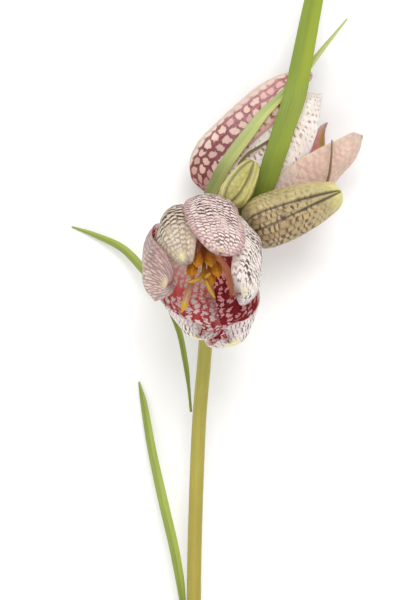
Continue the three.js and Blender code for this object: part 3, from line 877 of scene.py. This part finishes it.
def sweep_tree():
    """Sweeps a profile along the curves, at the radius each point of them has. The profile is round or
    has four lobes, and the surface is smooth or ruffled."""
    w, given = new_tree(
        "GeometryNodeTree", "Swept stalk",
        geometry="Geometry", sides=0, lobes=0.0, ruffle=0.0, material="Material",
    )
    circle = w.put("GeometryNodeCurvePrimitiveCircle", {"Resolution": given.sides, "Radius": 1.0})
    place = w.put("GeometryNodeInputPosition")
    right, up, _ = w.split(place)
    wave = w.math("COSINE", w.math("ARCTAN2", up, right) * 4.0)
    depth = (wave * -0.5 + 0.5) * given.lobes
    lobed = w.put("GeometryNodeSetPosition", {"Geometry": circle, "Position": w.scaled(place, 1.0 - depth)})
    radius = w.put("GeometryNodeInputRadius")
    curves = {"Curve": given.geometry, "Profile Curve": lobed, "Scale": radius, "Fill Caps": True}
    swept_curves = w.put("GeometryNodeCurveToMesh", curves)
    bumps = w.noise(w.scaled(place, 1000.0), 1.3)
    offset = w.scaled(w.put("GeometryNodeInputNormal"), (bumps - 0.75) * given.ruffle)
    ruffled = w.put("GeometryNodeSetPosition", {"Geometry": swept_curves, "Offset": offset})
    whole = w.put("GeometryNodeRealizeInstances", {0: ruffled})
    rounded = w.put("GeometryNodeSetShadeSmooth", {0: whole})
    return w.give(Geometry=w.put("GeometryNodeSetMaterial", {0: rounded, "Material": given.material}))


def pollen_tree():
    """Strews small grains of pollen over a surface and keeps the surface."""
    w, given = new_tree(
        "GeometryNodeTree", "Pollen",
        geometry="Geometry", grain=0.0, density=0.0, seed=0, material="Material",
    )
    surface = {"Mesh": given.geometry, "Density": given.density, "Seed": given.seed}
    strewn = w.put("GeometryNodeDistributePointsOnFaces", surface, "Points")
    grain = w.put("GeometryNodeMeshIcoSphere", {"Radius": given.grain, "Subdivisions": 1}, "Mesh")
    sizes = w.put("FunctionNodeRandomValue", {2: 0.55, 3: 1.25, "Seed": given.seed}, 1, data_type="FLOAT")
    grains = w.put("GeometryNodeInstanceOnPoints", {"Points": strewn, "Instance": grain, "Scale": sizes})
    whole = w.put("GeometryNodeRealizeInstances", {0: grains})
    painted = w.put("GeometryNodeSetMaterial", {0: whole, "Material": given.material})
    both = w.node("GeometryNodeJoinGeometry")
    for part in (given.geometry, painted):
        w.join(part, both.inputs[0])
    return w.give(Geometry=Value(w, both.outputs[0]))


def applied(source, name, tree, **values):
    """Runs a node tree on an object and returns the result as a plain mesh object of that name."""
    modifier = source.modifiers.new(tree.name, "NODES")
    modifier.node_group = tree
    wanted = {title(key): value for key, value in values.items()}
    for item in tree.interface.items_tree:
        if item.in_out == "INPUT" and item.name in wanted:
            modifier[item.identifier] = wanted[item.name]
    made = baked(source, name)
    bpy.data.objects.remove(source)
    return made


def baked(source, name):
    bpy.context.view_layer.update()
    depsgraph = bpy.context.evaluated_depsgraph_get()
    mesh = bpy.data.meshes.new_from_object(source.evaluated_get(depsgraph), depsgraph=depsgraph)
    mesh.name = name
    return new_object(name, mesh)


def swept(name, runs, closed=False, **values):
    """The runs as tubes in one mesh object."""
    curves = curve_object(name + "_route", runs, closed)
    return applied(curves, name, shared("Swept stalk", sweep_tree), **values)


def stalk_run(points, radii, count):
    return evenly(points, count), through(radii, np.linspace(0, 1, count))


# The stem


STEM_NODE = [-2.5, 50.3, 21]
STEM_RADII = [1.8, 1.85, 1.9, 1.95, 1.95, 1.95, 1.9, 1.85]
BLOOM_STALK = 1.15
BUD_STALK = 0.85
STEM_ROUTE = [
    [-8.4, -139.4, 1.7], [-8.2, -96.9, 5.2], [-7.5, -52.6, 9.8], [-7.2, -26.6, 12.4], [-6.1, 4.8, 16],
    [-4.7, 22.5, 18.2], [-3.6, 37.4, 19.9], [-2.4, 51.5, 21.1],
]
OLIVE_BUD = dict(
    seat=[5.9, 58.5, 35.1], tip=[31.9, 68.8, 30.5], radius=7.1, furrow=0.1, rolled=0.12,
    seam=(0.38, 0.02, 0.05), groove=0.05,
)
SMALL_BUD = dict(
    seat=[1.8, 65.2, 34.2], tip=[8.7, 77.0, 33.8], radius=4.1, furrow=0.14, rolled=0.25,
    seam=(0.12, 0.42, 0.1), groove=0.13,
)


def stem_runs():
    """The stem and its four flower stalks, each with the seat it ends in."""
    runs = [stalk_run(STEM_ROUTE, STEM_RADII, 240)]
    blooms = (
        (FRONT, [[-2.0, 56.0, 22.5], [-2.4, 60.6, 26], [-3.4, 62.2, 31], [-4.4, 60.2, 35.4]]),
        (BACK, [[-1.9, 56.6, 18.4], [-1.8, 61.2, 15.2]]),
    )
    for bloom, past in blooms:
        on_axis = [bloom.origin + h * bloom.a for h in (-2.6, -1.2, 0)]
        radii = [BLOOM_STALK * share for share in (1.2, 1, 1, 1, 1.1, 1.3)]
        runs.append(stalk_run([STEM_NODE, *past, *on_axis], radii, 60))
        seat = [bloom.origin + h * bloom.a for h in (-1.6, -0.4, 0.25)]
        runs.append(stalk_run(seat, [1.1, 1.95, 1.95], 12))
    buds = (
        (OLIVE_BUD, [[0.3, 53.6, 27], [1.6, 55.8, 33]]),
        (SMALL_BUD, [[-1.2, 54.6, 27], [-0.2, 59.5, 33]]),
    )
    for bud, past in buds:
        seat, tip = np.array(bud["seat"]), np.array(bud["tip"])
        behind = [seat - unit(tip - seat) * d for d in (2.4, 1.3, 0.35)]
        runs.append(stalk_run([STEM_NODE, *past, *behind], [BUD_STALK, BUD_STALK, BUD_STALK, 1.1], 60))
    return runs


class FRITILLARY_OT_stem(bpy.types.Operator):
    """Makes the stem with its flower stalks as one skin"""

    bl_idname = "fritillary.stem"
    bl_label = "Stem"

    def execute(self, context):
        settings = context.scene.fritillary_stem
        look = stem_material(settings)
        tubes = swept("stem_tubes", stem_runs(), sides=24, material=look)
        joined = tubes.modifiers.new("One skin", "REMESH")
        joined.mode = "VOXEL"
        joined.voxel_size = settings.voxel * MM
        joined.use_smooth_shade = True
        eased = tubes.modifiers.new("Eased", "SMOOTH")
        eased.factor = 0.5
        eased.iterations = 5
        piece = baked(tubes, "stem_skin")
        bpy.data.objects.remove(tubes)
        piece.data.materials.clear()
        piece.data.materials.append(look)
        finish(piece, "stem_green", "stem")
        return {"FINISHED"}


def stem_material(settings):
    """Olive near the blooms and straw below, with fine fibres along the stem."""

    def looks(w):
        x, y, z = w.split(w.put("ShaderNodeTexCoord", output="Object"))
        fibres = w.noise(w.point(x * 2600.0, y * 40.0, z * 2600.0), detail=3.0)
        patches = w.noise(w.point(x * 200.0, y * 60.0, z * 200.0))
        up = w.step(patches * 0.02 + y, -0.02, 0.045)
        colour_now = w.mix(up, (*settings.straw, 1), (*settings.olive, 1))
        shade = fibres * 0.34 + 0.83 + (patches * 0.2 - 0.1)
        return w.shaded(colour_now, shade), fibres, fibres * 0.25 + 0.34

    return new_material("Stem skin", looks, bump=0.5, bump_mm=0.08, Specular_IOR_Level=0.4)


# The leaves

LEAVES = {
    "leaf_1": dict(
        spine=[
            [0.1, 47.6, 18], [1.0, 52.5, 20.3], [3.1, 58.1, 23.5], [5.8, 63.6, 26.4],
            [10.8, 68.9, 28.6], [13.9, 77.4, 29.8], [16.7, 86.0, 29.8], [19.6, 94.6, 28.8],
            [21.4, 103.4, 26], [25.0, 121.1, 19], [27.3, 130.1, 15], [29.4, 138.1, 10.5],
        ],
        widths=[2.6, 3.0, 3.6, 4.6, 5.6, 5.8, 5.9, 5.3, 3.9, 0.5],
        face=([-1, 0, 0.2], [0, 0, 1]), channel=0.12,
    ),
    "leaf_2": dict(
        spine=[
            [-5.5, 47.6, 18], [-5.7, 52.2, 19.5], [-5.5, 57.6, 20.8], [-4.7, 62.9, 22],
            [-3.7, 66.9, 23.5], [-1.6, 71.2, 26], [1.0, 76.1, 28], [4.4, 81.0, 28.2], [7.1, 84.5, 28],
            [11.2, 89.8, 27.5], [15.5, 94.2, 26.1], [21.5, 100.4, 23.1], [27.2, 107.6, 19],
            [34.1, 116.2, 15.5],
        ],
        widths=[2.2, 2.4, 2.8, 3.5, 3.5, 3.2, 2.4, 1.7, 0.4],
        face=([1, 0, 0.2], [0, 0, 1]), channel=0.12,
    ),
    "leaf_3": dict(
        spine=[
            [1.3, 59.0, 28.6], [2.5, 65.5, 28.6], [3.4, 70.8, 28.4], [4.6, 75.9, 28.3],
            [7.1, 79.1, 28.2], [9.8, 80.8, 28.1], [11.9, 82.2, 28], [13.5, 83.3, 27.8],
        ],
        widths=[0.9, 0.9, 0.8, 0.8, 0.4],
        face=([0, 0, 1], [0, 0, 1]), channel=0,
    ),
    "leaf_4": dict(
        spine=[
            [-0.1, 43.5, 19.2], [4.0, 49.0, 20], [10.5, 54.5, 21.8], [18.5, 60.5, 23],
            [25.5, 65.9, 23.6], [28.5, 72.0, 24.5], [29.4, 77.6, 26], [29.6, 82.9, 27],
        ],
        widths=[1.0, 0.9, 0.8, 0.7, 0.4],
        face=([0, 0, 1], [0, 0, 1]), channel=0,
    ),
    "leaf_5": dict(
        spine=[
            [-8.2, 9.7, 14.5], [-8.9, 17.0, 13.8], [-9.8, 23.7, 13], [-11.7, 32.4, 11.6],
            [-16.1, 42.0, 9.4], [-21.6, 48.8, 7], [-27.1, 54.3, 4.6], [-34.6, 57.9, 1.7],
            [-41.0, 60.2, 0.3],
        ],
        widths=[1.4, 1.5, 1.5, 1.6, 1.9, 2.3, 2.1, 1.4, 0.4],
        face=([1, 0, 0.2], [0.2, 0.1, 1]), channel=0.12,
    ),
    "leaf_6": dict(
        spine=[
            [-10.1, -56.9, 8], [-10.6, -41.8, 8.4], [-12.6, -28.8, 8], [-15.9, -14.6, 6.6],
            [-18.9, -1.1, 4.2], [-21.1, 11.2, 1.6], [-22.5, 17.5, 0.3],
        ],
        widths=[2.2, 2.4, 2.6, 2.6, 2.3, 1.8, 0.4],
        face=([1, 0, 0.2], [0.2, 0, 1]), channel=0.12,
    ),
}
LEAF_STEPS = (150, 24)


def leaf_object(name, row, settings):
    """One leaf blade: a shallow channel along its midrib, with parallel veins."""
    rows, cells = LEAF_STEPS
    t = np.linspace(0, 1, rows + 1)
    spine = through(row["spine"], t)
    forward = unit(np.gradient(spine, axis=0))
    base, tip = (np.array(f, float) for f in row["face"])
    face = base + (tip - base) * smooth(0, 0.35, t)[:, None]
    face = unit(face - forward * np.sum(face * forward, axis=1, keepdims=True))
    side = np.cross(forward, face)
    half = through(row["widths"], t)[:, None] / 2
    x = np.linspace(-1, 1, cells + 1)[None, :]
    channel = row["channel"]
    middle = spine[:, None] + side[:, None] * (half * x)[..., None]
    middle = middle + face[:, None] * (channel * half * x * x)[..., None]
    normal = unit(face[:, None] - side[:, None] * (2 * channel * x)[..., None])
    veins = settings.relief * np.cos(7 * math.pi * x) * np.minimum(half / 1.5, 1)
    keel = 0.12 * np.exp(-((x / 0.12) ** 2)) * np.minimum(half / 1.5, 1)
    thin = 0.55 if max(row["widths"]) <= 1 else 1.0
    thick = thin * (settings.edge + (settings.middle - settings.edge) * (1 - np.abs(x) ** 2.5))
    upper = middle + normal * (thick / 2 - keel * 0.8 + veins)[..., None]
    lower = middle - normal * (thick / 2 + keel * 0.5)[..., None]
    points = np.concatenate([upper.reshape(-1, 3), lower.reshape(-1, 3)])
    points[:, 2] = np.maximum(points[:, 2], 0)
    surface = pairs_of((x + 1) / 2, t[:, None])
    faces, _ = sheet_faces(rows + 1, cells + 1)
    maps = {"Surface": np.concatenate([surface] * 2)}
    return mesh_object(name + "_blade", points, facing_out(points, faces).tolist(), maps)


LEAF_LOOKS = {
    "leaf_1": dict(base_end=0.9),
    "leaf_2": dict(left=(172, 182, 118), right=(188, 192, 118), base=(60, 68, 26), base_end=0.8),
    "leaf_3": dict(left=(98, 84, 48), right=(110, 96, 56), base=(88, 76, 44)),
    "leaf_4": dict(left=(122, 104, 76), right=(132, 112, 80), base=(110, 94, 62)),
    "leaf_5": dict(left=(136, 150, 72), right=(156, 168, 80), base=(128, 138, 62)),
    "leaf_6": dict(left=(136, 152, 70), right=(156, 170, 78), base=(120, 134, 60)),
}


class FRITILLARY_OT_leaves(bpy.types.Operator):
    """Makes the leaves"""

    bl_idname = "fritillary.leaves"
    bl_label = "Leaves"

    def execute(self, context):
        settings = context.scene.fritillary_leaves
        group = shared("Parallel veins", veins_group)
        # The left colour is the painted shaded half and the right colour is the painted lit half of one
        # green
        common = dict(left=settings.shaded_half, right=settings.bright, base=settings.base, midrib=(118, 134, 44))
        shader = dict(bump=0.4, bump_mm=0.08, Specular_IOR_Level=0.25)
        for name, row in LEAVES.items():
            piece = leaf_object(name, row, settings)
            values = {**common, **LEAF_LOOKS[name]}
            look = surface_material(f"{name} blade", group, {"Surface": "Surface"}, values, **shader)
            piece.data.materials.append(look)
            finish(piece, "leaf_green", name)
        return {"FINISHED"}


# Stamens and pistils


# Points along a stamen: all of them, where its filament ends and its anther starts. Then, along a thin
# anther, where its pale part ends and its bright part starts
PATH_POINTS = 61
FILAMENT_END = 36
ANTHER_START = 31
PALE_END = 23
BRIGHT_START = 21
ANTHER_RADII = [0.3, 0.95, 1.35, 1.55, 1.6, 1.48, 1.05, 0.2]
FAR_LEAN = 5


def stamen_runs(bloom, leans):
    """The paths of six filaments, the anthers at their ends and the ring they stand on. An anther that
    leans far out is thinner, pale along its length and bright at its end."""
    filaments, anthers, pale, bright = [], [], [], []
    for k, lean in enumerate(leans):
        angle = math.radians(60 * k + 30)
        stations = [(1.1, 1.65), (5, 2.0), (9, 2.4 + 0.2 * lean), (13, 2.8 + 0.5 * lean)]
        stations.append((19.5 + 0.2 * lean, 3.5 + lean))
        path = [bloom.point(h, out, angle) for h, out in stations]
        whole = evenly(path, PATH_POINTS)
        filaments.append((whole[:FILAMENT_END], np.full(FILAMENT_END, 0.36)))
        head = whole[ANTHER_START:]
        radii = through(ANTHER_RADII, np.linspace(0, 1, len(head)))
        if lean > FAR_LEAN:
            pale.append((head[:PALE_END], radii[:PALE_END] * 0.64))
            bright.append((head[BRIGHT_START:], radii[BRIGHT_START:] * 0.7))
        else:
            anthers.append((head, radii))
    around = np.linspace(0, 2 * math.pi, 24, endpoint=False)
    ring = (bloom.point(1.15, 1.65, around), np.full(24, 0.38))
    return filaments, anthers, ring, pale, bright


def pistil_runs(bloom, spreads):
    column = [bloom.point(h, 0, 0) for h in (0.65, 5, 11, 18.5)]
    runs = [stalk_run(column, [0.95, 1.05, 1.0, 0.6, 0.5, 0.55, 0.7], 44)]
    for k, spread in enumerate(spreads):
        angle = math.radians(120 * k + 30)
        stations = ((17, 0.1), (20.6, 0.3 * spread), (22.2, spread))
        lobe = [bloom.point(h, out, angle) for h, out in stations]
        runs.append(stalk_run(lobe, [0.55, 0.66, 0.62, 0.6, 0.3], 28))
    return runs


def grain_material(name, base, spots, amount, scale=2600.0):
    group = shared("Fine grain", grain_group)
    values = dict(scale=scale, base=base, spots=spots, amount=amount)
    return surface_material(name, group, {"Place": "Object"}, values, roughness=0.6, bump=0.6, bump_mm=0.1)


def join_pieces(name, pieces):
    """One mesh object from several, each keeping its materials."""
    bpy.ops.object.select_all(action="DESELECT")
    for piece in pieces:
        piece.select_set(True)
    bpy.context.view_layer.objects.active = pieces[0]
    bpy.ops.object.join()
    pieces[0].name = name
    return pieces[0]


# Each bloom's leans of its six anthers, and how far the three lobes of its stigma spread, in mm
STAMENS = {"front": (FRONT, [0.3, 0.3, 0, 8, 0, 0.2], [3, 5.6, 4.2]), "back": (BACK, [0] * 6, [2.5] * 3)}
POLLEN_SEED = 7


class FRITILLARY_OT_stamens(bpy.types.Operator):
    """Makes the stamens and pistils of both blooms"""

    bl_idname = "fritillary.stamens"
    bl_label = "Stamens and pistils"

    def execute(self, context):
        settings = context.scene.fritillary_pollen
        anther = grain_material("Anther", settings.anther, (206, 138, 30), 0.5)
        yellow = grain_material("Ripe anther end", (246, 206, 70), (226, 172, 40), 0.5)
        peach = grain_material("Pale anther", (236, 196, 158), (222, 166, 116), 0.6)
        filament = grain_material("Filament", settings.filament, (206, 150, 108), 0.5)
        pollen = grain_material("Pollen", (246, 190, 78), (228, 160, 44), 0.5)
        green = grain_material("Pistil", (196, 150, 52), (160, 118, 36), 0.6)
        dust = dict(grain=settings.grain * MM, density=settings.density / MM**2, material=pollen)
        ruffled = dict(sides=32, lobes=0.26, ruffle=0.55 * MM, material=anther)
        finer = dict(sides=32, lobes=0.24, ruffle=0.4 * MM)
        for seed, (side, (bloom, leans, spreads)) in enumerate(STAMENS.items(), POLLEN_SEED):
            filaments, anthers, ring, pale, bright = stamen_runs(bloom, leans)
            parts = [
                swept("threads", filaments, sides=10, material=filament),
                swept("ring", [ring], closed=True, sides=10, material=filament),
            ]
            heads = swept("heads", anthers, **ruffled)
            parts.append(applied(heads, "dusted", shared("Pollen", pollen_tree), seed=seed, **dust))
            for name, runs, look in (("pale", pale, peach), ("bright", bright, yellow)):
                if runs:
                    parts.append(swept(name, runs, material=look, **finer))
            finish(join_pieces(side + "_stamens_fine", parts), "stamen_yellow", side + "_stamens")
            column = swept(side + "_pistil_fine", pistil_runs(bloom, spreads), sides=14, material=green)
            finish(column, "pistil_green", side + "_pistil")
        return {"FINISHED"}


# The buds

BUD_PROFILE = [0.3, 0.78, 0.98, 1.0, 0.93, 0.82, 0.67, 0.48, 0.2]
BUD_STEPS = (110, 144)


def bud_object(name, row):
    """A closed bud: three outer tepals with ribs, and a strip between them edged by two seams."""
    rows, around = BUD_STEPS
    seat, tip = np.array(row["seat"], float), np.array(row["tip"], float)
    length = np.linalg.norm(tip - seat)
    axis = (tip - seat) / length
    u = unit(np.array([0, 0, 1.0]) - axis * axis[2])
    v = np.cross(u, axis)
    t = np.linspace(0, 1, rows + 1)[:, None]
    angle = np.linspace(-math.pi, math.pi, around, endpoint=False)[None, :]
    height = length * (1 - np.cos(math.pi * (0.06 + 0.9 * t))) / 2
    turned = angle - row["rolled"]
    third = np.abs(np.sin(1.5 * turned))
    ribs = 0.3 * np.cos(6 * turned) * smooth(0.1, 0.5, t)
    shape = 1 - row["furrow"] * ((1 - third) ** 3 + ribs)
    from_furrow = np.abs((turned + math.pi / 3) % (2 * math.pi / 3) - math.pi / 3)
    base, belly, end = row["seam"]
    from_seam = from_furrow - (base + (end - base) * t + 4 * belly * t * (1 - t))
    shape = shape - row["groove"] * np.exp(-((from_seam / 0.07) ** 2)) * smooth(0.02, 0.15, t)
    shape = shape + 0.012 * np.sin(18 * turned + 3 * t) * smooth(0.05, 0.3, t)
    shape = shape + 0.02 * lumps(np.cos(angle) * 1.5, t + 0.2 * np.sin(angle), 5)
    out = row["radius"] * through(BUD_PROFILE, t) * shape
    points = seat + height[..., None] * axis + (out * np.cos(angle))[..., None] * u
    points = points + (out * np.sin(angle))[..., None] * v
    ids = np.arange((rows + 1) * around).reshape(rows + 1, around)
    after = np.roll(ids, -1, axis=1)
    quads = np.stack([ids[:-1], after[:-1], after[1:], ids[1:]], axis=-1).reshape(-1, 4)
    first, last = ids.size, ids.size + 1
    caps = [[first, after[0, j], ids[0, j]] for j in range(around)]
    caps += [[last, ids[-1, j], after[-1, j]] for j in range(around)]
    everything = np.concatenate([points.reshape(-1, 3), [seat], [tip]])
    turned_over = facing_out(everything, quads)
    if turned_over is not quads:
        caps = [cap[::-1] for cap in caps]
    maps = {
        "Seams": np.concatenate([pairs_of(from_seam, t), [[0.5, 0], [0.5, 1]]]),
        "Place": np.concatenate([pairs_of(t, np.ones_like(angle)), [[0, 1], [1, 1]]]),
    }
    piece = mesh_object(name + "_skin", everything, turned_over.tolist() + caps, maps)
    places = pairs_of((angle + math.pi) / (2 * math.pi), height / SURFACE_MM)
    places = np.concatenate([places, [[0.5, 0], [0.5, length / SURFACE_MM]]])[corners_of(piece.data)]
    # Where the ring closes, a face's corners lie at both ends of the map
    for polygon in piece.data.polygons:
        own = places[polygon.loop_start : polygon.loop_start + polygon.loop_total, 0]
        if own.max() - own.min() > 0.6:
            own[own < 0.3] += 1
    add_map(piece.data, "Surface", places)
    return piece


def bud_group():
    """What lies over a bud's cells: dark seams, the lighter strip between them, its base and its tip."""
    w, given = new_tree(
        "ShaderNodeTree", "Bud seams",
        seams="Vector", place="Vector", skin=GREY, seam=GREY, seam_amount=0.9, seam_width=0.08,
        rib=GREY, rib_amount=0.4, base=GREY, tip=GREY,
    )
    from_seam, along, _ = w.split(given.seams)
    mottle = w.noise(given.place, 700.0, 3.0)
    speck = w.noise(given.place, 2600.0)
    rib = w.step(from_seam, 0.1, 0.3) * w.fall(from_seam, 0.3, 0.62)
    broken = mottle * 0.09 + abs(from_seam)
    grown = w.step(along, 0.4, 0.75) * 0.6 + 0.7
    seam = w.fall(broken, 0.03, given.seam_width * grown + 0.03)
    seam = seam * given.seam_amount * (mottle * 0.6 + 0.65) * w.fall(along, 0.95, 1.0)
    colour_now = w.layered(
        given.skin,
        (rib * given.rib_amount, given.rib),
        (w.step(speck, 0.6, 0.72) * 0.4, given.seam),
        (w.fall(along, 0.02, 0.25) * 0.75, given.base),
        (w.step(along, 0.66, 0.98) * 0.7, given.tip),
        (seam, given.seam),
    )
    shade = mottle * 0.5 + 0.75
    return w.give(
        Color=w.shaded(colour_now, shade), Height=mottle + speck * 0.4, Dullness=mottle * 0.25 + 0.3
    )


def bud_looks(settings):
    """The shape, the cells and the seams of each bud."""
    olive_cells = dict(
        columns=24.0, row=1.9, wander=0.95, seed=41.0, ground=settings.khaki,
        ground_at_tip=(190, 174, 124), cell=(184, 162, 118), cell_amount=0.85, cell_height=0.76,
        dash=settings.brown, dash_at_seat=1.3, dash_at_tip=0.3, dash_thickness=0.17,
        # The pale side is the bud's greenish upper side and partly a painted highlight where the light
        # falls along its upper edge
        dash_length=0.33, vein=(108, 82, 56), vein_amount=0.5, side=(214, 202, 142),
        side_amount=0.4, side_start=0.53,
    )
    small_cells = dict(
        columns=18.0, row=2.2, wander=0.6, seed=43.0, ground=(172, 164, 88),
        ground_at_tip=(178, 172, 90), cell=(196, 190, 116), cell_amount=0.5, dash_at_seat=0.25,
        dash_at_tip=0.1, dash=(140, 130, 86), vein=(160, 150, 96), vein_amount=0.4,
    )
    olive_seams = dict(
        seam=(52, 36, 26), seam_amount=1.0, seam_width=0.14, rib=(150, 128, 92), rib_amount=0.1,
        base=(84, 66, 44), tip=(224, 222, 134),
    )
    small_seams = dict(
        seam=(118, 106, 76), seam_amount=0.95, seam_width=0.26, rib=settings.lime, rib_amount=0.9,
        base=(150, 134, 88), tip=(184, 180, 104),
    )
    return {
        "olive_bud": (OLIVE_BUD, olive_cells, olive_seams),
        "small_bud": (SMALL_BUD, small_cells, small_seams),
    }


class FRITILLARY_OT_buds(bpy.types.Operator):
    """Makes the two closed buds"""

    bl_idname = "fritillary.buds"
    bl_label = "Buds"

    def execute(self, context):
        seams = shared("Bud seams", bud_group)
        cells = shared("Fritillary markings", markings_group)
        maps = {"Seams": "Seams", "Place": "Object"}
        shader = dict(bump=0.45, bump_mm=0.25, Specular_IOR_Level=0.4)
        for name, (row, under, over) in bud_looks(context.scene.fritillary_buds).items():
            piece = bud_object(name, row)
            under = (cells, MARK_MAPS, under)
            look = surface_material(f"{name} skin", seams, maps, over, under, **shader)
            piece.data.materials.append(look)
            finish(piece, name, name)
        return {"FINISHED"}


# The stage


FLOOR_HALF = 3000.0
LIGHT_TARGET = np.array([0.0, 20.0, 20.0])
WORLD_STRENGTH = 0.75
CAMERA_OVER = (-5.74, 40.05)


def softbox(name, place, width, power):
    """A square light of that width in mm, turned to the blooms."""
    data = bpy.data.lights.new(name, "AREA")
    data.shape = "SQUARE"
    data.size = width * MM
    data.energy = power
    made = new_object(name, data)
    made.location = np.array(place) * MM
    made.rotation_euler = mathutils.Vector(LIGHT_TARGET - place).to_track_quat("-Z", "Y").to_euler()


class FRITILLARY_OT_stage(bpy.types.Operator):
    """Makes the pale floor, the soft lights and the camera"""

    bl_idname = "fritillary.stage"
    bl_label = "Stage"

    def execute(self, context):
        scene = context.scene
        settings = scene.fritillary_stage
        corners = [[x * FLOOR_HALF, y * FLOOR_HALF, 0] for x, y in ((-1, -1), (1, -1), (1, 1), (-1, 1))]
        floor = mesh_object("floor", corners, [[0, 1, 2, 3]])
        look = grain_material("Pale floor", settings.floor, (246, 246, 244), 0.4, scale=60.0)
        floor.data.materials.append(look)
        softbox("key_softbox", [150, 850, 1950], 900, 19)
        softbox("fill_softbox", [-300, -900, 1700], 1300, 8)
        world = bpy.data.worlds.new("Studio")
        world.use_nodes = True
        background = world.node_tree.nodes["Background"].inputs
        background["Color"].default_value = (1, 1, 1, 1)
        background["Strength"].default_value = WORLD_STRENGTH
        scene.world = world
        scene.view_settings.view_transform = "Standard"
        data = bpy.data.cameras.new("camera")
        data.sensor_fit = "VERTICAL"
        data.sensor_height = 36
        data.lens = settings.lens
        data.clip_end = 20
        camera = new_object("camera", data)
        camera.location = (CAMERA_OVER[0] * MM, CAMERA_OVER[1] * MM, settings.height * MM)
        scene.camera = camera
        return {"FINISHED"}


OPERATORS = (
    FRITILLARY_OT_stem,
    FRITILLARY_OT_leaves,
    FRITILLARY_OT_front_bloom,
    FRITILLARY_OT_back_bloom,
    FRITILLARY_OT_stamens,
    FRITILLARY_OT_buds,
    FRITILLARY_OT_stage,
)


class FRITILLARY_PT_panel(bpy.types.Panel):
    """Lists the steps and the sizes and colours of the fritillary"""

    bl_idname = "FRITILLARY_PT_panel"
    bl_label = "Fritillary"
    bl_space_type = "VIEW_3D"
    bl_region_type = "UI"
    bl_category = "Fritillary"

    def draw(self, context):
        for operator in OPERATORS:
            self.layout.operator(operator.bl_idname)
        for name, group in SETTINGS.items():
            box = self.layout.box()
            for field in group.__annotations__:
                box.prop(getattr(context.scene, name), field)


CLASSES = (*SETTINGS.values(), *OPERATORS, FRITILLARY_PT_panel)


def register():
    for item in CLASSES:
        bpy.utils.register_class(item)
    for name, group in SETTINGS.items():
        setattr(bpy.types.Scene, name, bpy.props.PointerProperty(type=group))


def unregister():
    for name in SETTINGS:
        delattr(bpy.types.Scene, name)
    for item in reversed(CLASSES):
        bpy.utils.unregister_class(item)


def main():
    register()
    bpy.ops.fritillary.stem()
    bpy.ops.fritillary.leaves()
    bpy.ops.fritillary.front_bloom()
    bpy.ops.fritillary.back_bloom()
    bpy.ops.fritillary.stamens()
    bpy.ops.fritillary.buds()
    bpy.ops.fritillary.stage()


if __name__ == "__main__":
    main()
